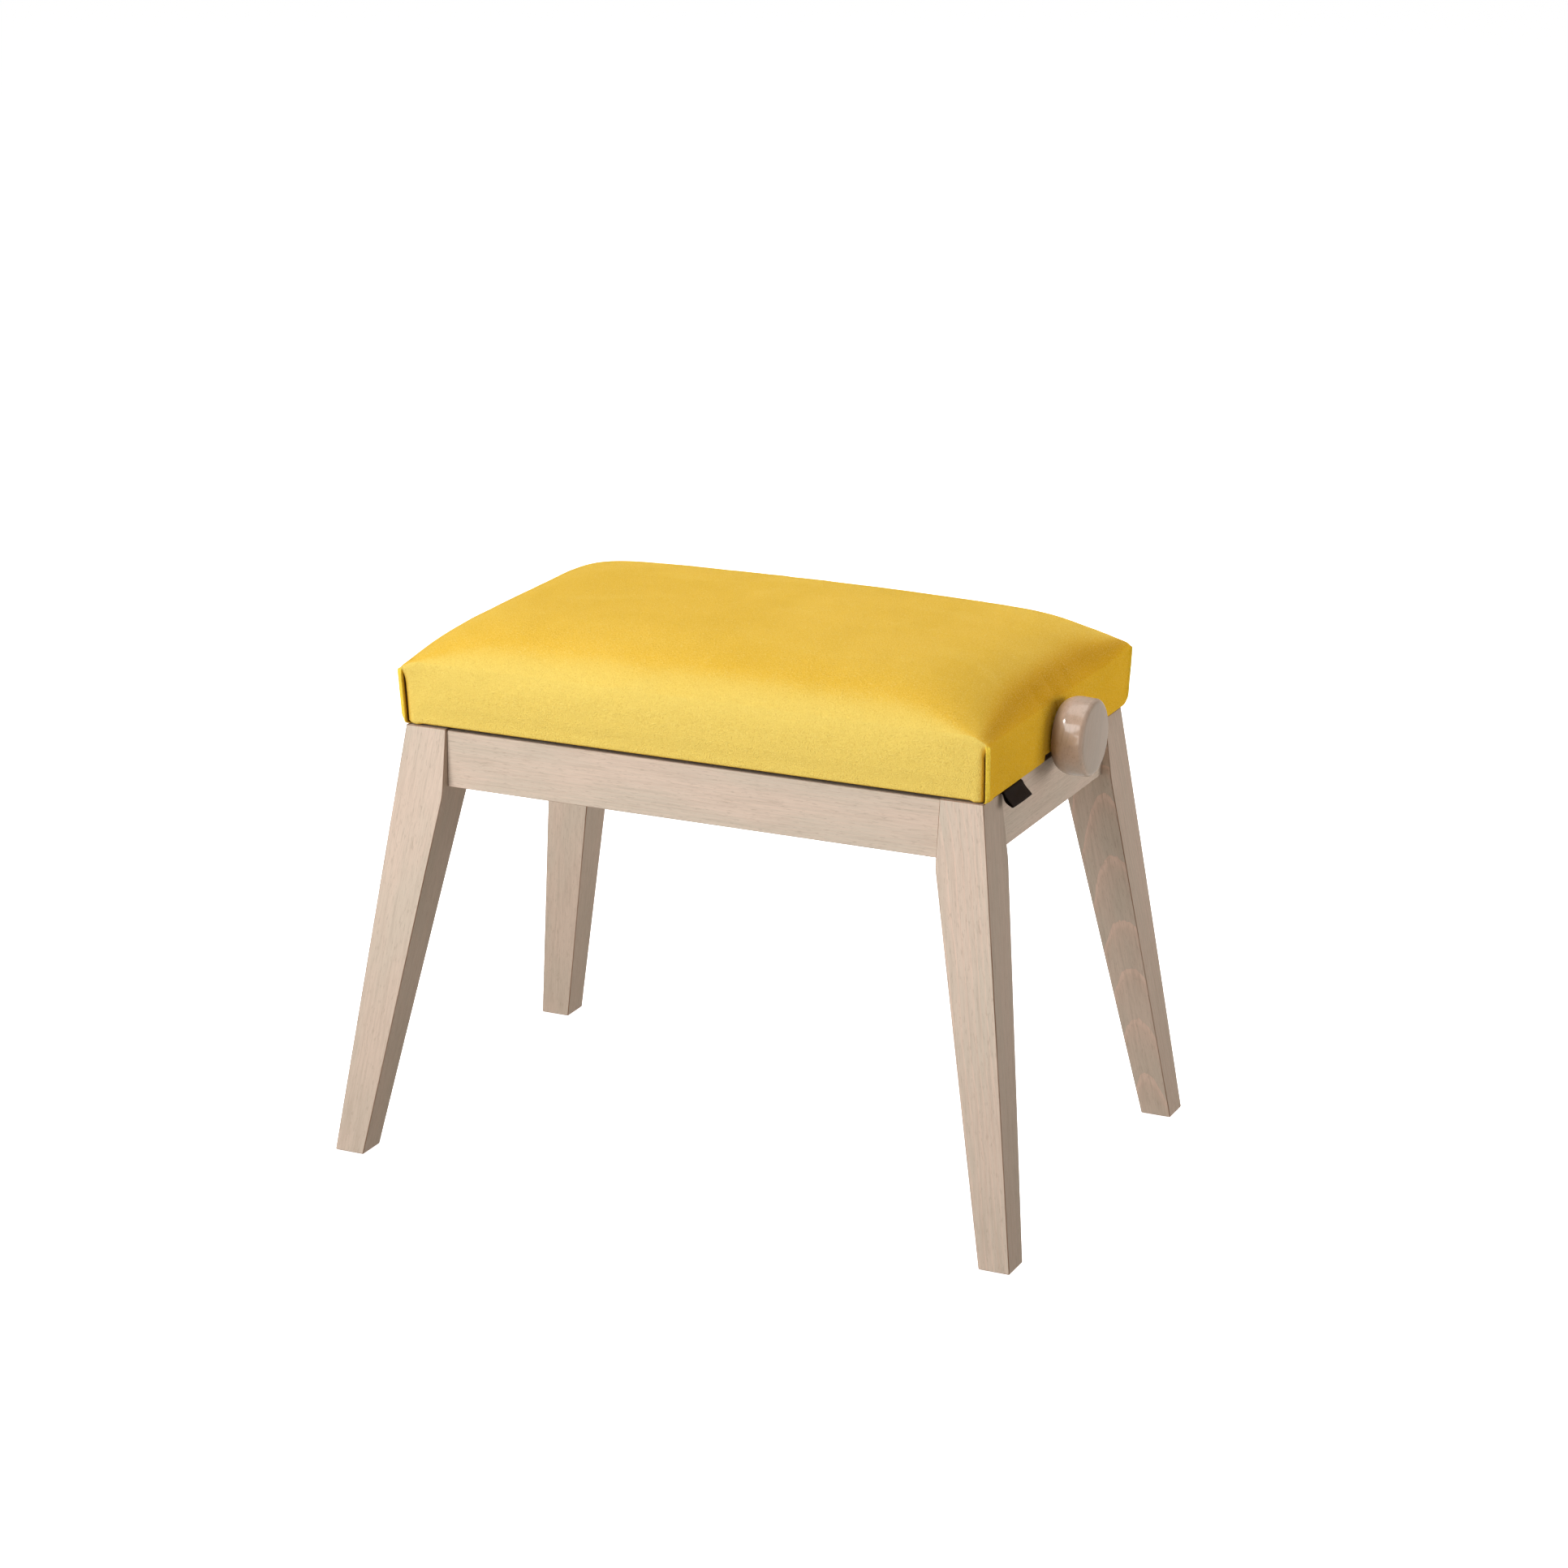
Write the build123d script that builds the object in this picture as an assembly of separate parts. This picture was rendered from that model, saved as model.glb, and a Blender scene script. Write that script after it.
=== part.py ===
"""Piano bench with an upholstered seat that rises on a scissor mechanism, turned by a knob at its right end.

Millimetres. +X runs to the right along the seat, +Y to the back and +Z up.
The origin is on the floor, midway between the four feet.
"""

from build123d import *
import os
from math import asin, cos, degrees, sin

# ---------------------------------------------------------------- driving dimensions
# Base frame, measured to its outer faces
BASE_TOP = 389.0            # height of the legs
BASE_HALF_X = 270.5         # outer corner of a leg at its top
BASE_HALF_Y = 161.7
FOOT_HALF_X = 322.9         # outer corner of a leg at the floor
FOOT_HALF_Y = 212.4
FOOT_WIDTH_X = 28.1         # section of a leg at the floor
FOOT_WIDTH_Y = 29.8
LEG_JOINT_X = 231.5         # upright inner faces that the aprons butt against
LEG_JOINT_Y = 121.9
APRON_LOW = 336.8
APRON_TOP = 387.6           # a little lower than the legs, so that a dark line shows under the seat
APRON_THICK = 20.0
APRON_SETBACK = 2.3         # how far the aprons lie behind the legs' top corners
KNEE_RADIUS = 55.0          # bend between a leg's joint face and its splayed length
LEG_ROUND = 1.0
APRON_ROUND = 0.8
PAD_RADIUS = 10.0
PAD_THICK = 3.0
PAD_PROUD = 1.0             # the pads carry the legs this far above the floor

# Seat, an upholstered box whose sides lean out and whose top is crowned
SEAT_LOW = 391.2
SEAT_BAND_TOP = 442.5       # where the sides turn over into the crown
SEAT_TOP = 494.0
SEAT_LOW_HALF_X = 271.7
SEAT_LOW_HALF_Y = 162.9
SEAT_BAND_HALF_X = 275.7
SEAT_BAND_HALF_Y = 168.5
ROLL_WIDTH = 55.0           # rounded edge of the crown, in from the side
ROLL_RISE_X = 38.0          # and its height, at the ends and along the front
ROLL_RISE_Y = 42.5
ROLL_MID_IN = 0.31          # a place on the rolled edge, as shares of its width and height
ROLL_MID_UP = 0.62
COVER_THICK = 1.6
HEM_WIDTH = 20.0
BOX_HALF_X = 268.5          # wooden seat box under the upholstery
BOX_HALF_Y = 159.7
SKIRT_LOW = 393.0
SKIRT_THICK = 16.0
BOARD_LOW = 430.0
BOARD_THICK = 12.0
FIT_GAP = 0.3               # between a soft piece and what it covers

# Scissor mechanism
LIFT = 90.0                 # travel of the seat
ARM_LENGTH = 400.0          # between an arm's end pivots
ARM_WIDTH = 22.0
ARM_THICK = 3.0
PIVOT_X = -205.0            # fixed end of every arm
LOWER_PIVOT_Z = 358.0
UPPER_PIVOT_Z = 408.0
RAIL_OUT_Y = 70.0           # outer side of a rail's upright flange
SHEET_THICK = 2.5
OUTER_ARM_Y = 64.0          # inner side of the arm next to the rail
INNER_ARM_Y = 60.5
PIN_RADIUS = 5.0
TURN_GAP = 0.06             # a pin in the eye that turns on it
OPEN_GAP = 0.9              # where the scissor is left open, to follow a straight-line coupling

# Spindle and knob, on the seat
SPINDLE_RADIUS = 6.0
SPINDLE_START = 150.0
BRACKET_X = 225.0
KNOB_START = 276.2
KNOB_END = 308.2
KNOB_RADIUS = 34.0
KNOB_BACK_ROUND = 7.0
KNOB_FRONT_ROUND = 13.0
INSERT_RADIUS = 9.0
INSERT_LENGTH = 19.5
SLOT_HALF = 9.0             # slot in the seat's right side that clears the spindle
SLOT_SHOULDER_HALF = 38.0   # and its shallow wide mouth
SLOT_SHOULDER_RISE = 5.0

SCREW_RADIUS = 2.0
SCREW_HEAD_RADIUS = 4.0
SCREW_HEAD = 2.5
PILOT_GAP = 0.06

# ---------------------------------------------------------------- derived places
APRON_FACE_X = BASE_HALF_X - APRON_SETBACK
APRON_FACE_Y = BASE_HALF_Y - APRON_SETBACK
APRON_IN_X = APRON_FACE_X - APRON_THICK
APRON_IN_Y = APRON_FACE_Y - APRON_THICK
FOOT_X = FOOT_HALF_X - FOOT_WIDTH_X / 2
FOOT_Y = FOOT_HALF_Y - FOOT_WIDTH_Y / 2
BOX_IN_X = BOX_HALF_X - SKIRT_THICK
BOX_IN_Y = BOX_HALF_Y - SKIRT_THICK
BOARD_TOP = BOARD_LOW + BOARD_THICK
RAIL_IN_Y = RAIL_OUT_Y - SHEET_THICK
ARM_ANGLE = asin((UPPER_PIVOT_Z - LOWER_PIVOT_Z) / ARM_LENGTH)
RAISED_ANGLE = asin((UPPER_PIVOT_Z - LOWER_PIVOT_Z + LIFT) / ARM_LENGTH)
SLIDE_X = PIVOT_X + ARM_LENGTH * cos(ARM_ANGLE)        # sliding end, seat down
SLIDE_X_UP = PIVOT_X + ARM_LENGTH * cos(RAISED_ANGLE)  # sliding end, seat up
CENTRE_X = (PIVOT_X + SLIDE_X) / 2
CENTRE_Z = (LOWER_PIVOT_Z + UPPER_PIVOT_Z) / 2

CORNERS = {
    "front_left": (-1, -1),
    "front_right": (1, -1),
    "back_left": (-1, 1),
    "back_right": (1, 1),
}
FAR = 1000.0                # longer than anything a profile is cut through


# ---------------------------------------------------------------- helpers
def box(x, y, z):
    """A box between two values on each axis."""
    size = [high - low for low, high in (x, y, z)]
    centre = [(low + high) / 2 for low, high in (x, y, z)]
    return Pos(*centre) * Box(*size)


def rod(axis, start, end, radius, at):
    """A round bar along X, Y or Z from start to end; at gives the other two coordinates in X, Y, Z order."""
    bar = Cylinder(radius, end - start)
    middle = (start + end) / 2
    if axis == "X":
        return Pos(middle, at[0], at[1]) * Rot(0, 90, 0) * bar
    if axis == "Y":
        return Pos(at[0], middle, at[1]) * Rot(90, 0, 0) * bar
    return Pos(at[0], at[1], middle) * bar


def screw(axis, seat, tip, at, grow=0.0):
    """A pan-head screw whose head stands on seat and whose point is at tip."""
    way = 1 if tip > seat else -1
    head = (seat - way * SCREW_HEAD, seat)
    shank = (seat, tip)
    return rod(axis, min(head), max(head), SCREW_HEAD_RADIUS + grow, at) + rod(
        axis, min(shank), max(shank), SCREW_RADIUS + grow, at
    )


def in_corner(shape, side_x, side_y):
    """The back right corner's shape, mirrored into another corner."""
    if side_x < 0:
        shape = mirror(shape, about=Plane.YZ)
    if side_y < 0:
        shape = mirror(shape, about=Plane.XZ)
    return shape


def in_front(shape):
    """The back one of a pair, mirrored to the front."""
    return mirror(shape, about=Plane.XZ)


def group(shapes):
    """Separate solids that share one node."""
    return Compound(children=[solid for shape in shapes for solid in shape.solids()])


PARTS = {}


def keep(name, shape):
    PARTS[name] = shape


# ---------------------------------------------------------------- base frame
def leg_outline(top_out, foot_out, foot_width, joint):
    """One side view of a leg: a straight outer edge, and an inner edge that is upright at the joint."""
    per_height = (foot_out - top_out) / BASE_TOP
    out_at_foot = foot_out - per_height * PAD_PROUD
    in_at_foot = out_at_foot - foot_width
    splay = (in_at_foot - joint) / (APRON_LOW - PAD_PROUD)
    knee_drop = KNEE_RADIUS * splay / 2
    inner = FilletPolyline(
        (in_at_foot, PAD_PROUD), (joint, APRON_LOW - knee_drop), (joint, BASE_TOP), radius=KNEE_RADIUS
    )
    rest = Polyline((joint, BASE_TOP), (top_out, BASE_TOP), (out_at_foot, PAD_PROUD), (in_at_foot, PAD_PROUD))
    return make_face([inner, rest])


def leg():
    """The back right leg, which leans out two ways, with its dowel holes and the recess for its pad."""
    across = leg_outline(BASE_HALF_X, FOOT_HALF_X, FOOT_WIDTH_X, LEG_JOINT_X)
    along = leg_outline(BASE_HALF_Y, FOOT_HALF_Y, FOOT_WIDTH_Y, LEG_JOINT_Y)
    body = extrude(Plane.XZ * across, FAR, both=True) & extrude(Plane.YZ * along, FAR, both=True)
    body = fillet(body.edges(), LEG_ROUND)
    for hole in dowels_of_corner(gap=0.1):
        body -= hole
    return body - rod("Z", PAD_PROUD - 1, PAD_THICK, PAD_RADIUS + 0.1, (FOOT_X, FOOT_Y))


DOWEL_RADIUS = 4.0
DOWEL_DEPTH = 19.5
DOWEL_HEIGHTS = (352.0, 375.0)


def dowels_of_corner(gap=0.0):
    """The four dowels of the back right corner, or their holes."""
    pins = []
    for z in DOWEL_HEIGHTS:
        reach = DOWEL_DEPTH + 4 * gap
        mid_y = APRON_FACE_Y - APRON_THICK / 2
        mid_x = APRON_FACE_X - APRON_THICK / 2
        pins.append(rod("X", LEG_JOINT_X - reach, LEG_JOINT_X + reach, DOWEL_RADIUS + gap, (mid_y, z)))
        pins.append(rod("Y", LEG_JOINT_Y - reach, LEG_JOINT_Y + reach, DOWEL_RADIUS + gap, (mid_x, z)))
    return pins


BLOCK_OUT = 350.0           # x + y on the block's outer slanted face, clear of the leg's arris
BLOCK_IN = 322.0
BLOCK_LOW = 341.0
BLOCK_HIGH = 386.0
BLOCK_SCREW_X = 196.0
BLOCK_SCREW_Y = 88.0
BLOCK_SCREW_SEAT = 4.0      # depth of the counterbore's floor below the slanted face
BLOCK_SCREW_Z = (352.0, 374.0)
BLOCK_SCREW_LONG = 24.0


def corner_block_screws(grow=0.0):
    """Two screws of the back right corner block, one into each apron."""
    seat_y = BLOCK_IN - BLOCK_SCREW_X + BLOCK_SCREW_SEAT
    seat_x = BLOCK_IN - BLOCK_SCREW_Y + BLOCK_SCREW_SEAT
    return [
        screw("Y", seat_y, seat_y + BLOCK_SCREW_LONG, (BLOCK_SCREW_X, BLOCK_SCREW_Z[0]), grow),
        screw("X", seat_x, seat_x + BLOCK_SCREW_LONG, (BLOCK_SCREW_Y, BLOCK_SCREW_Z[1]), grow),
    ]


def corner_block():
    """The wooden block across the inside of the back right corner."""
    outline = Polyline(
        (APRON_IN_X, BLOCK_OUT - APRON_IN_X),
        (APRON_IN_X, BLOCK_IN - APRON_IN_X),
        (BLOCK_IN - APRON_IN_Y, APRON_IN_Y),
        (BLOCK_OUT - APRON_IN_Y, APRON_IN_Y),
        close=True,
    )
    block = extrude(Pos(0, 0, BLOCK_LOW) * make_face(outline), BLOCK_HIGH - BLOCK_LOW)
    for fastener in corner_block_screws(grow=PILOT_GAP):
        block -= fastener
    seat_y = BLOCK_IN - BLOCK_SCREW_X + BLOCK_SCREW_SEAT
    seat_x = BLOCK_IN - BLOCK_SCREW_Y + BLOCK_SCREW_SEAT
    bore = SCREW_HEAD_RADIUS + 0.4
    block -= rod("Y", seat_y - 20, seat_y, bore, (BLOCK_SCREW_X, BLOCK_SCREW_Z[0]))
    block -= rod("X", seat_x - 20, seat_x, bore, (BLOCK_SCREW_Y, BLOCK_SCREW_Z[1]))
    return block


TAB_INNER_Y = 42.0
TAB_SCREW_Y = 54.0
TAB_SCREW_Z = (352.0, 364.0)
TAB_SCREW_LONG = 17.0


def rail_end_screws(grow=0.0):
    """The two screws of the lower back rail's right tab, into the right apron."""
    seat = APRON_IN_X - SHEET_THICK
    return [screw("X", seat, seat + TAB_SCREW_LONG, (TAB_SCREW_Y, z), grow) for z in TAB_SCREW_Z]


def rounded(block, radius):
    return fillet(block.edges(), radius)


def aprons():
    """Four boards between the legs: front and back along X, left and right along Y."""
    height = (APRON_LOW, APRON_TOP)
    long_one = rounded(
        box((-LEG_JOINT_X, LEG_JOINT_X), (APRON_IN_Y, APRON_FACE_Y), height), APRON_ROUND
    )
    short_one = rounded(
        box((APRON_IN_X, APRON_FACE_X), (-LEG_JOINT_Y, LEG_JOINT_Y), height), APRON_ROUND
    )
    for side_x, side_y in CORNERS.values():
        for hole in dowels_of_corner(gap=0.1) + corner_block_screws(grow=PILOT_GAP):
            # The back apron meets the back corners, and the right apron the right ones.
            if side_y > 0:
                long_one -= in_corner(hole, side_x, side_y)
            if side_x > 0:
                short_one -= in_corner(hole, side_x, side_y)
    for hole in rail_end_screws(grow=PILOT_GAP):
        short_one -= hole
        short_one -= in_front(hole)
    keep("apron_back", long_one)
    keep("apron_front", in_front(long_one))
    keep("apron_right", short_one)
    keep("apron_left", mirror(short_one, about=Plane.YZ))


def base_frame():
    back_right = leg()
    block = corner_block()
    pad = rod("Z", 0, PAD_THICK, PAD_RADIUS, (FOOT_X, FOOT_Y))
    for name, (side_x, side_y) in CORNERS.items():
        keep(f"leg_{name}", in_corner(back_right, side_x, side_y))
        keep(f"corner_block_{name}", in_corner(block, side_x, side_y))
        keep(f"foot_pad_{name}", in_corner(pad, side_x, side_y))
    aprons()
    every = CORNERS.values()
    keep("apron_dowels", group(in_corner(d, *c) for c in every for d in dowels_of_corner()))
    keep("corner_block_screws", group(in_corner(s, *c) for c in every for s in corner_block_screws()))
    keep("lower_rail_screws", group(in_corner(s, *c) for c in every for s in rail_end_screws()))


# ---------------------------------------------------------------- scissor mechanism
def slide_slot(z):
    """The slot in a rail that a sliding rod runs in, with room at both ends."""
    ends = [x + way * OPEN_GAP for x, way in ((SLIDE_X_UP, -1), (SLIDE_X, 1))]
    radius = PIN_RADIUS + OPEN_GAP
    slot = box(ends, (RAIL_IN_Y - 1, RAIL_OUT_Y + 1), (z - radius, z + radius))
    for x in ends:
        slot += rod("Y", RAIL_IN_Y - 1, RAIL_OUT_Y + 1, radius, (x, z))
    return slot


def pivot_hole(z, gap):
    return rod("Y", RAIL_IN_Y - 1, RAIL_OUT_Y + 1, PIN_RADIUS + gap, (PIVOT_X, z))


LOWER_RAIL_Z = (343.0, 371.0)
LOWER_FLANGE_IN_Y = 48.0


def lower_rail():
    """The steel angle at the back of the base, with a bent tab at each end."""
    low, high = LOWER_RAIL_Z
    ends = (-APRON_IN_X, APRON_IN_X)
    rail = box(ends, (RAIL_IN_Y, RAIL_OUT_Y), (low, high))
    rail += box(ends, (LOWER_FLANGE_IN_Y, RAIL_OUT_Y), (low, low + SHEET_THICK))
    tab = box((APRON_IN_X - SHEET_THICK, APRON_IN_X), (TAB_INNER_Y, RAIL_OUT_Y), (low, high))
    for hole in rail_end_screws(grow=PILOT_GAP):
        tab -= hole
    rail += tab
    rail += mirror(tab, about=Plane.YZ)
    rail -= pivot_hole(LOWER_PIVOT_Z, PILOT_GAP)
    return rail - slide_slot(LOWER_PIVOT_Z)


UPPER_RAIL_HALF = 240.0
UPPER_RAIL_LOW = 396.0
UPPER_FLANGE_OUT_Y = 92.0
UPPER_SCREW_Y = 82.0
UPPER_SCREW_X = (-210.0, -70.0, 70.0, 210.0)
UPPER_SCREW_LONG = 12.0


def upper_rail_screws(grow=0.0):
    """Four screws through the upper back rail, up into the seat board."""
    seat = BOARD_LOW - SHEET_THICK
    return [screw("Z", seat, seat + UPPER_SCREW_LONG, (x, UPPER_SCREW_Y), grow) for x in UPPER_SCREW_X]


def upper_rail():
    """The steel angle under the back of the seat board."""
    ends = (-UPPER_RAIL_HALF, UPPER_RAIL_HALF)
    rail = box(ends, (RAIL_IN_Y, RAIL_OUT_Y), (UPPER_RAIL_LOW, BOARD_LOW))
    rail += box(ends, (RAIL_IN_Y, UPPER_FLANGE_OUT_Y), (BOARD_LOW - SHEET_THICK, BOARD_LOW))
    for hole in upper_rail_screws(grow=PILOT_GAP):
        rail -= hole
    rail -= pivot_hole(UPPER_PIVOT_Z, PILOT_GAP)
    return rail - slide_slot(UPPER_PIVOT_Z)


def arm(start_z, end_z, inner_y, centre_gap):
    """A flat bar from the fixed end to the sliding end, with an eye at each end and one at its middle."""
    rise = 1 if end_z > start_z else -1
    along = (cos(ARM_ANGLE), 0, rise * sin(ARM_ANGLE))
    plane = Plane(origin=(CENTRE_X, inner_y, CENTRE_Z), x_dir=along, z_dir=(0, -1, 0))
    flat = SlotCenterToCenter(ARM_LENGTH, ARM_WIDTH)
    for x, gap in ((-ARM_LENGTH / 2, TURN_GAP), (0, centre_gap), (ARM_LENGTH / 2, TURN_GAP)):
        flat -= Pos(x, 0) * Circle(PIN_RADIUS + gap)
    return extrude(plane * flat, -ARM_THICK)


HEAD_RADIUS = 8.0
HEAD_THICK = 2.0
SHOULDER_RADIUS = 7.0


def cross_rod(x, z, shoulder):
    """A rod from front to back, thicker between the arms, with a head outside each rail."""
    end = RAIL_OUT_Y + FIT_GAP
    bar = rod("Y", -end, end, PIN_RADIUS, (x, z)) + rod("Y", -shoulder, shoulder, SHOULDER_RADIUS, (x, z))
    for way in (-1, 1):
        head = sorted((way * end, way * (end + HEAD_THICK)))
        bar += rod("Y", head[0], head[1], HEAD_RADIUS, (x, z))
    return bar


def spacer(x, z):
    """The ring that fills the outer arm's place on a rod that carries the inner arms."""
    ring = (INNER_ARM_Y + ARM_THICK + 0.2, RAIL_IN_Y - 0.2)
    tube = rod("Y", ring[0], ring[1], SHOULDER_RADIUS + 1, (x, z))
    return tube - rod("Y", ring[0] - 1, ring[1] + 1, PIN_RADIUS + TURN_GAP, (x, z))


def centre_rivet():
    """The rivet on which the back pair of arms cross."""
    at = (CENTRE_X, CENTRE_Z)
    inside, outside = INNER_ARM_Y - FIT_GAP, OUTER_ARM_Y + ARM_THICK + FIT_GAP
    rivet = rod("Y", inside, outside, PIN_RADIUS, at)
    rivet += rod("Y", inside - HEAD_THICK, inside, HEAD_RADIUS, at)
    return rivet + rod("Y", outside, outside + HEAD_THICK, HEAD_RADIUS, at)


NUT_HALF = 9.0


def nut_bar():
    """The square cross bar that the spindle draws along; round journals turn in the outer arms."""
    shoulder = OUTER_ARM_Y - FIT_GAP
    bar = rounded(
        box(
            (SLIDE_X - NUT_HALF, SLIDE_X + NUT_HALF),
            (-shoulder, shoulder),
            (UPPER_PIVOT_Z - NUT_HALF, UPPER_PIVOT_Z + NUT_HALF),
        ),
        1.5,
    )
    end = RAIL_OUT_Y + FIT_GAP
    bar += rod("Y", -end, end, PIN_RADIUS, (SLIDE_X, UPPER_PIVOT_Z))
    for way in (-1, 1):
        head = sorted((way * end, way * (end + HEAD_THICK)))
        bar += rod("Y", head[0], head[1], HEAD_RADIUS, (SLIDE_X, UPPER_PIVOT_Z))
    bore = SPINDLE_RADIUS + OPEN_GAP
    return bar - rod("X", SLIDE_X - 2 * NUT_HALF, SLIDE_X + 2 * NUT_HALF, bore, (0, UPPER_PIVOT_Z))


def mechanism():
    keep("lower_rail_back", lower_rail())
    keep("lower_rail_front", in_front(lower_rail()))
    keep("upper_rail_back", upper_rail())
    keep("upper_rail_front", in_front(upper_rail()))
    outer = arm(LOWER_PIVOT_Z, UPPER_PIVOT_Z, OUTER_ARM_Y, PILOT_GAP)
    inner = arm(UPPER_PIVOT_Z, LOWER_PIVOT_Z, INNER_ARM_Y, OPEN_GAP)
    keep("outer_arm_back", outer)
    keep("outer_arm_front", in_front(outer))
    keep("inner_arm_back", inner)
    keep("inner_arm_front", in_front(inner))
    keep("centre_rivets", group([centre_rivet(), in_front(centre_rivet())]))
    outer_shoulder = OUTER_ARM_Y - FIT_GAP
    inner_shoulder = INNER_ARM_Y - FIT_GAP
    keep("lower_pivot_rod", cross_rod(PIVOT_X, LOWER_PIVOT_Z, outer_shoulder))
    keep("upper_pivot_rod", cross_rod(PIVOT_X, UPPER_PIVOT_Z, inner_shoulder))
    keep("lower_slide_rod", cross_rod(SLIDE_X, LOWER_PIVOT_Z, inner_shoulder))
    keep("nut_bar", nut_bar())
    for name, x, z in (
        ("upper_pivot_spacers", PIVOT_X, UPPER_PIVOT_Z),
        ("slide_rod_spacers", SLIDE_X, LOWER_PIVOT_Z),
    ):
        keep(name, group([spacer(x, z), in_front(spacer(x, z))]))
    screws = upper_rail_screws()
    keep("upper_rail_screws", group(screws + [in_front(s) for s in screws]))


# ---------------------------------------------------------------- spindle and knob
BRACKET_HALF_Y = RAIL_IN_Y
BRACKET_LOW = 394.0
BRACKET_FOOT_END = 248.0
BRACKET_SCREW_X = 239.0
BRACKET_SCREW_Y = 30.0
BRACKET_FOOT_HALF_Y = 45.0
BUSH_RADIUS = 8.0
BUSH_FLANGE_RADIUS = 10.5
BUSH_FLANGE = 2.5
BUSH_END = 231.0
COLLAR_RADIUS = 10.5
COLLAR_LONG = 9.0
SET_SCREW_RADIUS = 2.0


def bracket_screws(grow=0.0):
    seat = BOARD_LOW - SHEET_THICK
    return [
        screw("Z", seat, seat + UPPER_SCREW_LONG, (BRACKET_SCREW_X, y), grow)
        for y in (-BRACKET_SCREW_Y, BRACKET_SCREW_Y)
    ]


def spindle_bracket():
    """The bent plate between the upper rails that holds the spindle's bush."""
    plate = box(
        (BRACKET_X, BRACKET_X + SHEET_THICK), (-BRACKET_HALF_Y, BRACKET_HALF_Y), (BRACKET_LOW, BOARD_LOW)
    )
    plate += box(
        (BRACKET_X, BRACKET_FOOT_END),
        (-BRACKET_FOOT_HALF_Y, BRACKET_FOOT_HALF_Y),
        (BOARD_LOW - SHEET_THICK, BOARD_LOW),
    )
    for hole in bracket_screws(grow=PILOT_GAP):
        plate -= hole
    return plate - rod("X", BRACKET_X - 5, BRACKET_X + 10, BUSH_RADIUS + PILOT_GAP, (0, UPPER_PIVOT_Z))


def on_spindle(start, end, radius, bore):
    """A ring on the spindle's line."""
    ring = rod("X", start, end, radius, (0, UPPER_PIVOT_Z))
    return ring - rod("X", start - 1, end + 1, bore, (0, UPPER_PIVOT_Z))


def knob():
    """The turned wooden knob, with a hidden bore for its insert."""
    outline = FilletPolyline(
        (KNOB_START, 0),
        (KNOB_START, KNOB_RADIUS),
        (KNOB_END, KNOB_RADIUS),
        (KNOB_END, 0),
        radius=[KNOB_BACK_ROUND, KNOB_FRONT_ROUND],
    )
    closing = Line((KNOB_END, 0), (KNOB_START, 0))
    profile = Plane.XZ * make_face([outline, closing])
    turned = revolve(profile, Axis.X, 360)
    bore = rod("X", KNOB_START - 1, KNOB_START + INSERT_LENGTH, INSERT_RADIUS + PILOT_GAP, (0, 0))
    return Pos(0, 0, UPPER_PIVOT_Z) * (turned - bore)


def spindle_and_knob():
    bore = SPINDLE_RADIUS + 0.02
    keep("spindle_bracket", spindle_bracket())
    keep("bracket_screws", group(bracket_screws()))
    bush = on_spindle(BRACKET_X - BUSH_FLANGE, BRACKET_X, BUSH_FLANGE_RADIUS, SPINDLE_RADIUS + TURN_GAP)
    bush += on_spindle(BRACKET_X, BUSH_END, BUSH_RADIUS, SPINDLE_RADIUS + TURN_GAP)
    keep("spindle_bush", bush)
    inside_end = BRACKET_X - BUSH_FLANGE - FIT_GAP
    outside_start = BUSH_END + FIT_GAP
    starts = (inside_end - COLLAR_LONG, outside_start)
    collars = [on_spindle(start, start + COLLAR_LONG, COLLAR_RADIUS, bore) for start in starts]
    set_screws = []
    for i, start in enumerate(starts):
        at = (start + COLLAR_LONG / 2, 0)
        span = (UPPER_PIVOT_Z + SPINDLE_RADIUS + 0.1, UPPER_PIVOT_Z + COLLAR_RADIUS + 0.5)
        set_screws.append(rod("Z", span[0], span[1], SET_SCREW_RADIUS, at))
        collars[i] -= rod("Z", UPPER_PIVOT_Z, span[1] + 2, SET_SCREW_RADIUS + PILOT_GAP, at)
    keep("thrust_collars", group(collars))
    keep("collar_set_screws", group(set_screws))
    spindle_end = KNOB_START + INSERT_LENGTH - 0.5
    keep("lift_spindle", chamfer_ends(rod("X", SPINDLE_START, spindle_end, SPINDLE_RADIUS, (0, UPPER_PIVOT_Z))))
    keep("knob", knob())
    keep("knob_insert", on_spindle(KNOB_START, KNOB_START + INSERT_LENGTH, INSERT_RADIUS, bore))


def chamfer_ends(bar):
    return chamfer(bar.edges().filter_by(GeomType.CIRCLE), 1.0)


# ---------------------------------------------------------------- seat
def crown_outline(low_half, band_half, rise, inset, low):
    """Half the seat seen from one side, mirrored: a leaning side, a rolled edge and a shallow dome."""
    lean = (band_half - low_half) / (SEAT_BAND_TOP - SEAT_LOW)
    bottom = low_half + lean * (low - SEAT_LOW) - inset
    side = band_half - inset
    roll_in = band_half - ROLL_WIDTH
    roll_top = SEAT_BAND_TOP + rise - inset
    roll_mid = (
        side - ROLL_MID_IN * (side - roll_in),
        SEAT_BAND_TOP + ROLL_MID_UP * (roll_top - SEAT_BAND_TOP),
    )
    edges = [Line((-bottom, low), (bottom, low))]
    for way in (-1, 1):
        edges.append(Line((way * bottom, low), (way * side, SEAT_BAND_TOP)))
        edges.append(
            ThreePointArc(
                (way * side, SEAT_BAND_TOP), (way * roll_mid[0], roll_mid[1]), (way * roll_in, roll_top)
            )
        )
    edges.append(ThreePointArc((-roll_in, roll_top), (0, SEAT_TOP - inset), (roll_in, roll_top)))
    return make_face(edges)


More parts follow.
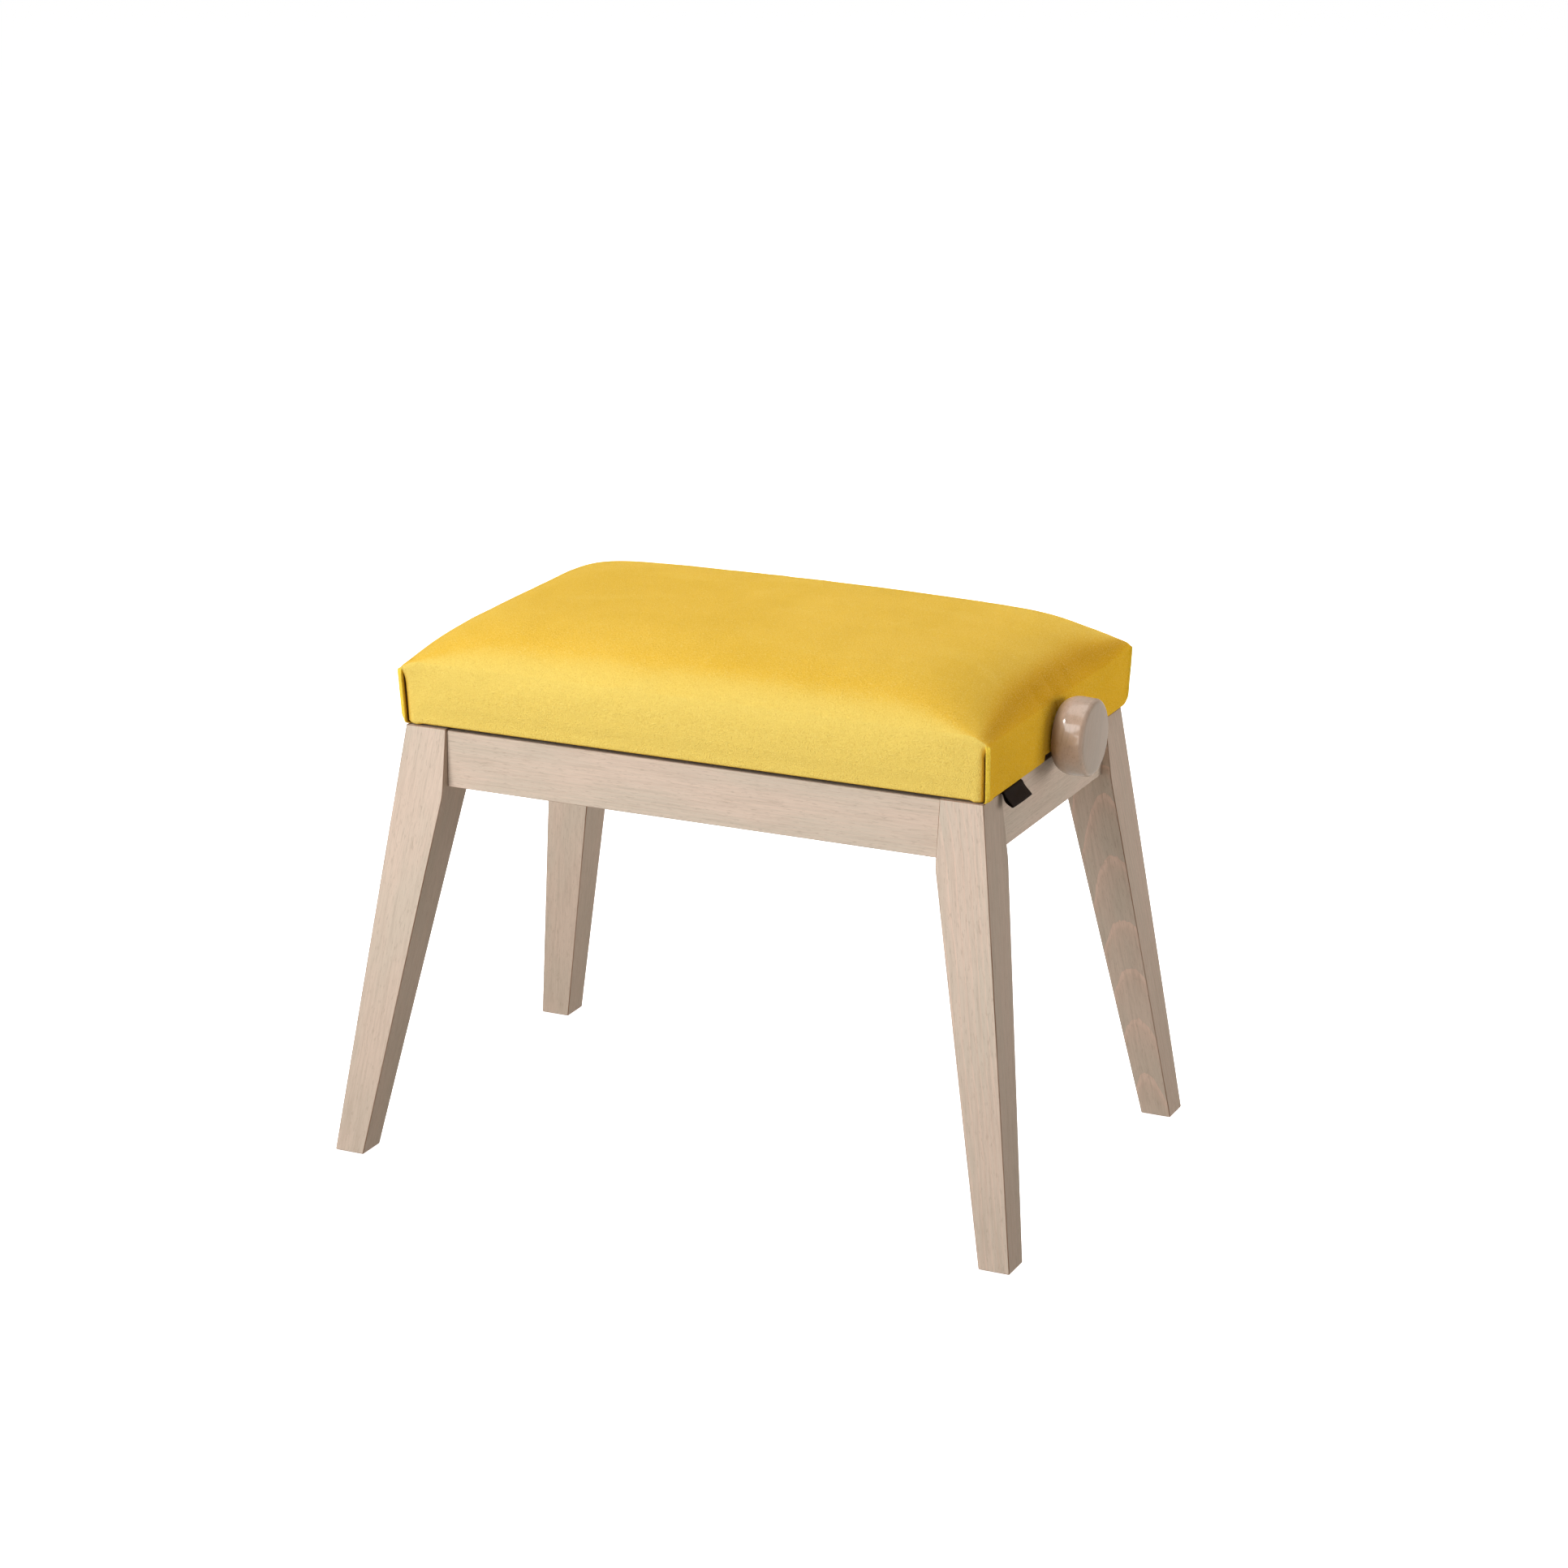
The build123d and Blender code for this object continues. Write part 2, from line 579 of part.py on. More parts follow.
def upholstered(inset, low=SEAT_LOW):
    """The seat's outer form, drawn in by an inset."""
    across = crown_outline(SEAT_LOW_HALF_X, SEAT_BAND_HALF_X, ROLL_RISE_X, inset, low)
    along = crown_outline(SEAT_LOW_HALF_Y, SEAT_BAND_HALF_Y, ROLL_RISE_Y, inset, low)
    return extrude(Plane.XZ * across, FAR, both=True) & extrude(Plane.YZ * along, FAR, both=True)


def spindle_slot(start_x, grow=0.0):
    """The opening in the seat's right side: a shallow wide mouth and a narrow slot up to the spindle."""
    reach = (start_x, SEAT_BAND_HALF_X + 10)
    mouth = box(
        reach,
        (-SLOT_SHOULDER_HALF - grow, SLOT_SHOULDER_HALF + grow),
        (SEAT_LOW - 5, SEAT_LOW + SLOT_SHOULDER_RISE + grow),
    )
    mouth += box(reach, (-SLOT_HALF - grow, SLOT_HALF + grow), (SEAT_LOW - 5, UPPER_PIVOT_Z))
    return mouth + rod("X", reach[0], reach[1], SLOT_HALF + grow, (0, UPPER_PIVOT_Z))


def seat_cover():
    """The fabric: one skin over the crown and sides, turned under the box as a hem."""
    hollow = upholstered(COVER_THICK, low=SEAT_LOW + COVER_THICK)
    window = box(
        (-(BOX_HALF_X - HEM_WIDTH), BOX_HALF_X - HEM_WIDTH),
        (-(BOX_HALF_Y - HEM_WIDTH), BOX_HALF_Y - HEM_WIDTH),
        (SEAT_LOW - 5, SKIRT_LOW),
    )
    return upholstered(0) - hollow - window - spindle_slot(BOX_HALF_X - HEM_WIDTH - 5)


def seat_foam():
    """The crowned foam block on the seat board."""
    above = box((-FAR, FAR), (-FAR, FAR), (BOARD_TOP + FIT_GAP, FAR))
    return upholstered(COVER_THICK + FIT_GAP) & above


def edge_wadding():
    """Four strips of padding between the wooden box and the cover, thicker towards the top."""
    form = upholstered(COVER_THICK + FIT_GAP)
    height = (SKIRT_LOW, BOARD_TOP)
    in_x = BOX_HALF_X + 0.1
    in_y = BOX_HALF_Y + 0.1
    back = form & box((-FAR, FAR), (in_y, FAR), height)
    right = form & box((in_x, FAR), (-in_y, in_y), height)
    slot = spindle_slot(BOX_HALF_X - 5, grow=FIT_GAP)
    return group([back, in_front(back), right - slot, mirror(right, about=Plane.YZ)])


BOARD_SCREW_X = (-200.0, -67.0, 67.0, 200.0)
BOARD_SCREW_Y = (-85.0, 85.0)
BOARD_SCREW_TIP = 412.0


def board_screws(grow=0.0):
    """Screws down through the seat board into the four skirts, heads let in flush."""
    mid_x = BOX_HALF_X - SKIRT_THICK / 2
    mid_y = BOX_HALF_Y - SKIRT_THICK / 2
    places = [(x, way * mid_y) for x in BOARD_SCREW_X for way in (-1, 1)]
    places += [(way * mid_x, y) for y in BOARD_SCREW_Y for way in (-1, 1)]
    seat = BOARD_TOP - SCREW_HEAD
    return [screw("Z", seat, BOARD_SCREW_TIP, place, grow) for place in places]


STAPLE_CROWN = 10.0
STAPLE_WIRE = 1.0
STAPLE_FLAT = 0.5
STAPLE_LEG = 6.0
STAPLE_IN = 12.0            # in from the seat's lower edge
STAPLE_STEP_X = 48.0        # between staples, along the seat and across its ends
STAPLE_STEP_Y = 46.0


def staple(x, y, lengthways):
    """A staple that holds the hem to the skirt, its crown along the edge."""
    half = STAPLE_CROWN / 2
    wire = STAPLE_WIRE / 2
    low = SEAT_LOW - STAPLE_FLAT
    shape = box((-half, half), (-wire, wire), (low, SEAT_LOW))
    for way in (-1, 1):
        leg_x = sorted((way * half, way * (half - STAPLE_WIRE)))
        shape += box(leg_x, (-wire, wire), (low, SEAT_LOW + STAPLE_LEG))
    turn = 0 if lengthways else 90
    return Pos(x, y, 0) * Rot(0, 0, turn) * shape


def cover_staples():
    """Staples round the hem, left out where the spindle's slot is."""
    edge_x = SEAT_LOW_HALF_X - STAPLE_IN
    edge_y = SEAT_LOW_HALF_Y - STAPLE_IN
    found = []
    for i in range(11):
        x = -5 * STAPLE_STEP_X + STAPLE_STEP_X * i
        found += [staple(x, way * edge_y, True) for way in (-1, 1)]
    for i in range(6):
        y = -2.5 * STAPLE_STEP_Y + STAPLE_STEP_Y * i
        found.append(staple(-edge_x, y, False))
        if abs(y) > SLOT_SHOULDER_HALF + STAPLE_CROWN:
            found.append(staple(edge_x, y, False))
    return group(found)


TAG_Y = (-126.5, -85.5)
TAG_BACK_X = 263.0
TAG_TIP = (280.5, 378.0)
TAG_THICK = 1.0
TAG_FOLD = 1.5              # size of the turned tip


def label_tag():
    """The folded ribbon tab held under the right side of the hem, hanging outwards."""
    top = SEAT_LOW - FIT_GAP / 3
    tip_x, tip_z = TAG_TIP
    outline = Polyline(
        (TAG_BACK_X, top),
        (SEAT_LOW_HALF_X, top),
        (tip_x, tip_z + TAG_FOLD),
        (tip_x - TAG_FOLD / 2, tip_z),
        (tip_x - 2 * TAG_FOLD, tip_z + FIT_GAP),
        (SEAT_LOW_HALF_X - TAG_FOLD, top - TAG_THICK - FIT_GAP),
        (TAG_BACK_X, top - TAG_THICK),
        close=True,
    )
    middle = Pos(0, sum(TAG_Y) / 2, 0)
    return middle * extrude(Plane.XZ * make_face(outline), (TAG_Y[1] - TAG_Y[0]) / 2, both=True)


def seat():
    board = box((-BOX_HALF_X, BOX_HALF_X), (-BOX_HALF_Y, BOX_HALF_Y), (BOARD_LOW, BOARD_TOP))
    height = (SKIRT_LOW, BOARD_LOW)
    long_skirt = box((-BOX_HALF_X, BOX_HALF_X), (BOX_IN_Y, BOX_HALF_Y), height)
    side_skirt = box((BOX_IN_X, BOX_HALF_X), (-BOX_IN_Y, BOX_IN_Y), height)
    for hole in board_screws(grow=PILOT_GAP):
        board -= hole
        long_skirt -= hole
        side_skirt -= hole
    rail_screws = upper_rail_screws(grow=PILOT_GAP)
    for hole in rail_screws + [in_front(s) for s in rail_screws] + bracket_screws(grow=PILOT_GAP):
        board -= hole
    keep("seat_board", board)
    keep("seat_skirt_back", long_skirt)
    keep("seat_skirt_front", in_front(long_skirt))
    keep("seat_skirt_left", mirror(side_skirt, about=Plane.YZ))
    keep("seat_skirt_right", side_skirt - spindle_slot(BOX_IN_X - 5, grow=FIT_GAP))
    keep("seat_board_screws", group(board_screws()))
    keep("seat_foam", seat_foam())
    keep("edge_wadding", edge_wadding())
    keep("seat_cover", seat_cover())
    keep("cover_staples", cover_staples())
    keep("label_tag", label_tag())


def main():
    base_frame()
    mechanism()
    spindle_and_knob()
    seat()
    os.makedirs("parts", exist_ok=True)
    for name, shape in PARTS.items():
        export_step(shape, f"parts/{name}.step")
    turn = degrees(RAISED_ANGLE - ARM_ANGLE)
    print(len(PARTS), "nodes; arm turn", round(turn, 4), "deg; nut travel", round(SLIDE_X - SLIDE_X_UP, 3))


main()
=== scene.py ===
"""Looks of the piano bench: velvet seat, washed beech frame, turned knob and the steel lift under the seat.

Everything is in metres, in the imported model's own frame: +X to the right, +Y to the back, +Z up.
"""

from math import cos, pi, radians, sin, tau

import bpy
import numpy as np
from mathutils import Matrix, Vector, kdtree, noise


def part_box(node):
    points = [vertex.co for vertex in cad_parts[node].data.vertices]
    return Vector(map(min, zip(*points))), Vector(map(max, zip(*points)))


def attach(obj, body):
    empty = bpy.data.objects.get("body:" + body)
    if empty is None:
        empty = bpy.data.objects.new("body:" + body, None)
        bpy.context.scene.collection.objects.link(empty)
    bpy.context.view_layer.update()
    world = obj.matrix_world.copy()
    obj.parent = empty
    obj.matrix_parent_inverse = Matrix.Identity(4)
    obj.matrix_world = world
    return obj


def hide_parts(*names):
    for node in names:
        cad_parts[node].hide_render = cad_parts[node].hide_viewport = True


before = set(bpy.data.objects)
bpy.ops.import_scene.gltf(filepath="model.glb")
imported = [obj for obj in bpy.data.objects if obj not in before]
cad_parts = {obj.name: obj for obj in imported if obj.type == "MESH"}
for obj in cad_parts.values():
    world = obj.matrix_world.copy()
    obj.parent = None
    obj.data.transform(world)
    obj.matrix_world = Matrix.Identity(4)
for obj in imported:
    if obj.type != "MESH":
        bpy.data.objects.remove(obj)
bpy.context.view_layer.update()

MM = 0.001
SCENE = bpy.context.scene

# ------------------------------ places taken from the frame
cover_low, cover_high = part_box("seat_cover")
HALF_X = cover_high.x  # the seat's half length where its sides turn over
HALF_Y = cover_high.y
SEAT_LOW = cover_low.z
SEAT_TOP = cover_high.z
BAND_TOP = SEAT_LOW + 51.3 * MM
LEAN_X = 2.0 * MM  # how much narrower each side is at the seat's bottom
LEAN_Y = 5.4 * MM
SEAT_SHIFT = 1.2 * MM  # how far the cover sits to the right on its wooden box
wood_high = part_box("seat_board")[1]
FOAM_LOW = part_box("seat_foam")[0].z
knob_low, knob_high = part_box("knob")
KNOB_Z = (knob_low.z + knob_high.z) / 2
KNOB_RADIUS = (knob_high.z - knob_low.z) / 2


# ------------------------------ meshes
def new_object(name, points, faces, smooth=True):
    """A new mesh object made of points and faces."""
    mesh = bpy.data.meshes.new(name)
    mesh.from_pydata([tuple(p) for p in points], [], [tuple(f) for f in faces])
    mesh.validate()
    made = bpy.data.objects.new(name, mesh)
    SCENE.collection.objects.link(made)
    if smooth:
        mesh.shade_smooth()
    return made


def smoothstep(low, high, value):
    """0 up to low, 1 from high on, and an even S between."""
    t = np.clip((np.asarray(value, float) - low) / (high - low), 0, 1)
    return t * t * (3 - 2 * t)


def ring_points(x, radii, turns):
    """One ring of points round X; radii is one radius, or one for each point."""
    radii = np.broadcast_to(radii, turns)
    return [(x, r * cos(tau * k / turns), r * sin(tau * k / turns)) for k, r in enumerate(radii)]


def ring_faces(rings, turns):
    """Outward faces from a first point on the axis, over rings towards +X, to a last point on the axis."""
    faces = []
    last = 1 + (rings - 1) * turns
    for k in range(turns):
        after = (k + 1) % turns
        faces.append((0, 1 + after, 1 + k))
        for a in range(1, last, turns):
            faces.append((a + k, a + after, a + turns + after, a + turns + k))
        faces.append((last + turns, last + k, last + after))
    return faces


# ------------------------------ materials
def srgb(red, green, blue):
    """A colour given as 0 to 255 values on screen, made linear."""
    parts = [value / 255 for value in (red, green, blue)]
    return [p / 12.92 if p <= 0.04045 else ((p + 0.055) / 1.055) ** 2.4 for p in parts] + [1.0]


class Surface:
    """A material with one Principled shader, and short calls for the nodes that feed it."""

    def __init__(self, name, roughness=0.5, metallic=0.0):
        self.material = bpy.data.materials.new(name)
        self.material.use_nodes = True
        self.tree = self.material.node_tree
        self.tree.nodes.clear()
        self.shader = self.add("ShaderNodeBsdfPrincipled")
        output = self.add("ShaderNodeOutputMaterial")
        self.tree.links.new(self.shader.outputs["BSDF"], output.inputs["Surface"])
        self.set(Roughness=roughness, Metallic=metallic)

    def add(self, kind, **settings):
        node = self.tree.nodes.new(kind)
        for key, value in settings.items():
            setattr(node, key, value)
        return node

    def put(self, socket, value):
        """Links value to the socket if it is another socket, and otherwise sets it."""
        if isinstance(value, bpy.types.NodeSocket):
            self.tree.links.new(value, socket)
        else:
            socket.default_value = value

    def set(self, **inputs):
        for name, value in inputs.items():
            self.put(self.shader.inputs[name.replace("_", " ")], value)

    def math(self, operation, a, b=0.0):
        node = self.add("ShaderNodeMath", operation=operation)
        self.put(node.inputs[0], a)
        self.put(node.inputs[1], b)
        return node.outputs[0]

    def times(self, a, b):
        return self.math("MULTIPLY", a, b)

    def plus(self, total, *others):
        for other in others:
            total = self.math("ADD", total, other)
        return total

    def between(self, value, low, high, to_low=0.0, to_high=1.0):
        node = self.add("ShaderNodeMapRange", interpolation_type="SMOOTHSTEP")
        for socket, given in zip(node.inputs, (value, low, high, to_low, to_high)):
            self.put(socket, given)
        return node.outputs[0]

    def mix(self, share, a, b):
        node = self.add("ShaderNodeMix", data_type="RGBA")
        self.put(node.inputs["Factor"], share)
        self.put(node.inputs[6], a)
        self.put(node.inputs[7], b)
        return node.outputs[2]

    def place(self):
        return self.add("ShaderNodeTexCoord").outputs["Object"]

    def grain_space(self, along, middle):
        """Coordinates from middle, with Z along the grain and X as near to the world's X as it can be."""
        long = Vector(along).normalized()
        wide = Vector((1, 0, 0)) if abs(long.x) < 0.7 else Vector((0, 1, 0))
        wide = (wide - long * wide.dot(long)).normalized()
        turn = Matrix((wide, long.cross(wide), long)).transposed().to_euler()
        node = self.add("ShaderNodeMapping", vector_type="TEXTURE")
        self.put(node.inputs["Vector"], self.place())
        node.inputs["Location"].default_value = middle
        node.inputs["Rotation"].default_value = turn
        return node.outputs[0]

    def noise(self, vector, scale, detail=2.0, roughness=0.5, distortion=0.0):
        """Noise of one scale, or of three scales, for X, Y and Z."""
        if isinstance(scale, tuple):
            stretch = self.add("ShaderNodeVectorMath", operation="MULTIPLY")
            self.put(stretch.inputs[0], vector)
            stretch.inputs[1].default_value = scale
            vector, scale = stretch.outputs[0], 1.0
        node = self.add("ShaderNodeTexNoise")
        self.put(node.inputs["Vector"], vector)
        settings = dict(Scale=scale, Detail=detail, Roughness=roughness, Distortion=distortion)
        for name, value in settings.items():
            node.inputs[name].default_value = value
        return node.outputs[0]

    def split(self, vector):
        node = self.add("ShaderNodeSeparateXYZ")
        self.put(node.inputs[0], vector)
        return node.outputs

    def bump(self, height, depth, after=None):
        """Bump of a height from 0 to 1 that stands for depth in metres, on top of the bump after."""
        node = self.add("ShaderNodeBump")
        node.inputs["Strength"].default_value = 1.0
        node.inputs["Distance"].default_value = depth
        self.put(node.inputs["Height"], height)
        if after is not None:
            self.put(node.inputs["Normal"], after)
        return node.outputs[0]

    def facing(self, axis):
        """How squarely the surface looks along X, Y or Z (0, 1 or 2): 1 straight along it and 0 across it."""
        normal = self.split(self.add("ShaderNodeNewGeometry").outputs["Normal"])
        return self.math("ABSOLUTE", normal[axis])

    def arris(self):
        """1 on a rounded edge and 0 on the flats, read from which way the surface faces."""
        most = self.math("MAXIMUM", self.math("MAXIMUM", self.facing(0), self.facing(1)), self.facing(2))
        return self.between(self.math("SUBTRACT", 1.0, most), 0.02, 0.09)


WASHED_PINK = srgb(206, 186, 169)
WASHED_GREY = srgb(198, 183, 166)
# the dark of the grain, also used for painted shade near the floor and on the faces along X
GRAIN_AND_SHADE_DARK = srgb(150, 130, 112)
WASHED_FLAME = srgb(222, 188, 168)
WASHED_PALE = srgb(228, 200, 182)
WORN_EDGE = srgb(118, 76, 46)
RING_JAG = 0.6 * MM


def washed_beech(name, along, middle, flame, pith, tilt=0.008, drift=0.0, gap=2.2 * MM, sway=6 * MM,
                 worn=0.9, foot_shade=0.0, side_shade=0.0):
    """Pale beech under a white wash: even pinkish grey, fine streaks, short dark flecks and faint rings.

    The rings are cones round the pith, which lies to one side of the piece, so a face that looks towards the
    pith shows nested flames, and the faces beside it show straight lines. Rings lie gap apart and wander by
    sway, and flame is how clear they are. Painted shade darkens the wood towards the floor by the share
    foot_shade and on the faces that look along X by the share side_shade. Along the edges the wood is darker
    by the share worn, as wear.
    """
    wood = Surface(name, roughness=0.62)
    grain = wood.grain_space(along, middle)
    tone = wood.noise(grain, (38, 38, 10), detail=3)
    streak = wood.noise(grain, (420, 420, 11), detail=3, roughness=0.65)
    fibre = wood.noise(grain, (1300, 1300, 70), roughness=0.6)
    fleck = wood.between(wood.noise(grain, (950, 950, 150), detail=1), 0.6, 0.72)
    x, y, z = wood.split(grain)
    waves = wood.times(wood.noise(grain, (16, 16, 9)), sway)
    jag = wood.times(wood.noise(grain, (260, 260, 60)), RING_JAG)
    across_x = wood.plus(x, pith[0], wood.times(z, drift))
    across_y = wood.plus(y, pith[1], wood.times(z, tilt))
    squares = [wood.times(side, side) for side in (across_x, across_y)]
    from_pith = wood.plus(wood.math("SQRT", wood.plus(*squares)), wood.plus(waves, jag))
    part = wood.math("FRACT", wood.times(from_pith, 1 / gap))
    glow = wood.math("POWER", part, 3.0)
    edge = wood.times(wood.between(part, 0.84, 0.94), wood.between(part, 0.99, 1.0, 1.0, 0.0))
    colour = wood.mix(wood.between(tone, 0.35, 0.65), WASHED_PINK, WASHED_GREY)
    colour = wood.mix(wood.times(glow, flame), colour, WASHED_FLAME)
    colour = wood.mix(wood.times(edge, 0.8 * flame), colour, WASHED_PALE)
    colour = wood.mix(wood.between(streak, 0.42, 0.72, 0.0, 0.24), colour, GRAIN_AND_SHADE_DARK)
    colour = wood.mix(wood.between(fibre, 0.45, 0.75, 0.0, 0.2), colour, GRAIN_AND_SHADE_DARK)
    colour = wood.mix(wood.times(fleck, 0.3), colour, GRAIN_AND_SHADE_DARK)
    # painted shade: the wood is darker towards the floor
    if foot_shade:
        height = wood.split(wood.place())[2]
        colour = wood.mix(wood.between(height, 0.0, 0.3, foot_shade, 0.0), colour, GRAIN_AND_SHADE_DARK)
    # painted shade: the faces that look along X are darker
    if side_shade:
        colour = wood.mix(wood.between(wood.facing(0), 0.75, 0.95, 0.0, side_shade), colour, GRAIN_AND_SHADE_DARK)
    wear = wood.times(wood.arris(), wood.between(tone, 0.3, 0.7, 0.6 * worn, worn))
    colour = wood.mix(wear, colour, WORN_EDGE)
    wood.set(Base_Color=colour, Roughness=wood.between(fibre, 0.3, 0.7, 0.55, 0.7))
    wood.set(Normal=wood.bump(fibre, 0.00006, after=wood.bump(streak, 0.0001)))
    return wood.material


SAWN_RING_GAP = 3.5 * MM
SAWN_RING_BEND = 20 * MM
PLY = 3 * MM


def sawn_wood(name, along, middle, pale, dark):
    """Unfinished wood for the pieces out of sight: clear rings and a rough face."""
    wood = Surface(name, roughness=0.75)
    grain = wood.grain_space(along, middle)
    fibre = wood.noise(grain, (900, 900, 40), detail=3)
    x, y = wood.split(grain)[:2]
    bend = wood.times(wood.noise(grain, (25, 25, 5)), SAWN_RING_BEND)
    across = wood.plus(x, wood.times(y, 0.35), bend)
    part = wood.math("FRACT", wood.times(across, 1 / SAWN_RING_GAP))
    colour = wood.mix(wood.between(part, 0.2, 0.98, 0.0, 0.6), pale, dark)
    colour = wood.mix(wood.between(fibre, 0.4, 0.7, 0.0, 0.35), colour, dark)
    wood.set(Base_Color=colour, Normal=wood.bump(fibre, 0.00012))
    return wood.material


def plywood(name):
    """Birch plywood: a calm face, and thin dark and pale layers on its edge."""
    wood = Surface(name, roughness=0.7)
    place = wood.place()
    fibre = wood.noise(place, (30, 700, 700), detail=3)
    layer = wood.math("FRACT", wood.times(wood.split(place)[2], 1 / PLY))
    side = wood.math("SUBTRACT", 1.0, wood.facing(2))
    layered = wood.times(wood.between(layer, 0.45, 0.55), wood.between(side, 0.3, 0.7, 0.0, 0.6))
    colour = wood.mix(wood.between(fibre, 0.4, 0.7, 0.0, 0.4), srgb(214, 184, 142), srgb(184, 150, 106))
    colour = wood.mix(layered, colour, srgb(140, 104, 66))
    wood.set(Base_Color=colour, Normal=wood.bump(fibre, 0.0001))
    return wood.material


# painted shade on the knob's back, by the seat
KNOB_SHADED = (knob_low.x + 3.8 * MM, knob_low.x + 11.8 * MM)  # where the knob's browner back ends


def lacquered_beech(name):
    """The knob's wood: the same wash under a clear coat, with painted shade on its face and by the seat."""
    wood = Surface(name, roughness=0.45)
    grain = wood.grain_space((0.1, 0.35, 1), (0.31, 0.12, 0.05))
    tone = wood.noise(grain, (45, 45, 14))
    streak = wood.noise(grain, (420, 420, 14), detail=3, roughness=0.6)
    fleck = wood.between(wood.noise(grain, (950, 950, 150), detail=1), 0.6, 0.74)
    colour = wood.mix(wood.between(tone, 0.35, 0.65), srgb(203, 176, 156), srgb(190, 170, 152))
    colour = wood.mix(wood.between(streak, 0.42, 0.72, 0.0, 0.26), colour, srgb(150, 124, 102))
    colour = wood.mix(wood.times(fleck, 0.2), colour, srgb(132, 104, 80))
    # painted shade: the face, which looks along X, is greyer
    colour = wood.mix(wood.between(wood.facing(0), 0.8, 1.0, 0.0, 0.55), colour, srgb(152, 138, 124))
    # painted shade: the back by the seat is browner
    along_x = wood.split(wood.place())[0]
    colour = wood.mix(wood.between(along_x, *KNOB_SHADED, 0.5, 0.0), colour, srgb(104, 76, 44))
    wood.set(Base_Color=colour, Coat_Weight=1.0, Coat_Roughness=0.14, Specular_IOR_Level=0.15)
    return wood.material


PLEAT_AND_HEM_SHADE = "tucked"  # painted shade in a pleat, from 0 to 1 with its depth, and 1 on the hem under the seat
SHADE_ABOVE_FOLD = "pressed"  # how strong the painted shade above the fold of an end is, from 0 to 1
ON_SIDE = "on_side"  # 1 on the cover's sides, 0 on its crown
ON_LIP = "on_lip"  # 1 on the narrow lip between a corner pleat and its end
MARKS = (PLEAT_AND_HEM_SHADE, SHADE_ABOVE_FOLD, ON_SIDE, ON_LIP)


def velvet(name):
    """Short yellow pile with a fine grainy nap, and soft clouds where it lies another way.

    Painted light: the front and back are paler, a painted sheen, and the ends a deeper orange, painted shade.
    The cover's marks paint a highlight on the lip and shade above the ends' folds, in pleats and under the
    hem.
    """
    cloth = Surface(name, roughness=0.9)
    place = cloth.place()
    nap = cloth.noise(place, 950, roughness=0.65)
    fluff = cloth.noise(place, 330, detail=3, roughness=0.6)
    cloud = cloth.noise(place, 9, detail=4, roughness=0.55, distortion=0.6)
    brushed = cloth.noise(place, (14, 34, 34), detail=3, roughness=0.6)
    colour = cloth.mix(cloth.between(cloud, 0.3, 0.7), srgb(241, 195, 72), srgb(234, 187, 60))
    colour = cloth.mix(cloth.between(brushed, 0.5, 0.75, 0.0, 0.3), colour, srgb(246, 206, 86))
    on_long_side = cloth.between(cloth.facing(1), 0.55, 0.95)
    on_end = cloth.between(cloth.facing(0), 0.45, 0.95)
    # painted sheen: the faces that look along Y are paler
    colour = cloth.mix(on_long_side, colour, srgb(238, 208, 104))
    tucked, pressed, on_side, on_lip = (
        cloth.add("ShaderNodeAttribute", attribute_name=mark).outputs["Fac"] for mark in MARKS
    )
    # painted shade: the ends are a deeper orange, with less sheen
    end_shade_tone = cloth.mix(on_side, srgb(247, 184, 14), srgb(246, 190, 32))
    colour = cloth.mix(on_end, colour, end_shade_tone)
    # painted shade above each end's fold
    colour = cloth.mix(cloth.times(pressed, 0.7), colour, srgb(214, 152, 8))
    # painted highlight: the lip is brighter
    colour = cloth.mix(on_lip, colour, srgb(255, 218, 76))
    colour = cloth.mix(cloth.between(nap, 0.5, 0.78, 0.0, 0.5), colour, srgb(255, 232, 140))
    colour = cloth.mix(cloth.between(nap, 0.5, 0.25, 0.0, 0.35), colour, srgb(196, 140, 22))
    # painted shade in the pleats, their slits and the hem turned under the seat
    colour = cloth.mix(cloth.between(tucked, 0.0, 0.4, 0.0, 0.75), colour, srgb(206, 150, 12))
    colour = cloth.mix(cloth.between(tucked, 0.4, 0.75, 0.0, 0.96), colour, srgb(58, 32, 3))
    height = cloth.plus(nap, cloth.times(fluff, 0.6))
    cloth.set(Base_Color=colour, Normal=cloth.bump(height, 0.0012))
    cloth.set(Sheen_Weight=0.2, Sheen_Roughness=0.45, Sheen_Tint=srgb(255, 226, 120), Specular_IOR_Level=0.12)
    return cloth.material


def ribbon(name):
    """Tightly woven black ribbon with fine crosswise ribs."""
    cloth = Surface(name, roughness=0.6)
    y, z = cloth.split(cloth.place())[1:]
    ribs = cloth.math("SINE", cloth.times(y, tau / (0.6 * MM)))
    weft = cloth.math("SINE", cloth.times(z, tau / (0.5 * MM)))
    weave = cloth.between(cloth.plus(ribs, weft), -2.0, 2.0)
    colour = cloth.mix(weave, srgb(28, 21, 19), srgb(52, 43, 40))
    cloth.set(Base_Color=colour, Normal=cloth.bump(weave, 0.00012), Specular_IOR_Level=0.12)
    return cloth.material


UNEVEN = 0.12  # how far a metal's roughness varies to both sides


def metal(name, colour, roughness, scratch=(60, 60, 60)):
    """Metal with fine scratches, drawn out by the scratch scales, and slightly uneven shine."""
    steel = Surface(name, metallic=1.0)
    place = steel.place()
    lines = steel.noise(place, scratch, detail=3, roughness=0.65)
    cloud = steel.noise(place, 25)
    dark = [channel * 0.72 for channel in colour[:3]] + [1.0]
    steel.set(Base_Color=steel.mix(steel.between(cloud, 0.35, 0.7), colour, dark))
    steel.set(Roughness=steel.between(lines, 0.3, 0.7, roughness - UNEVEN, roughness + UNEVEN))
    steel.set(Normal=steel.bump(lines, 0.00003))
    return steel.material


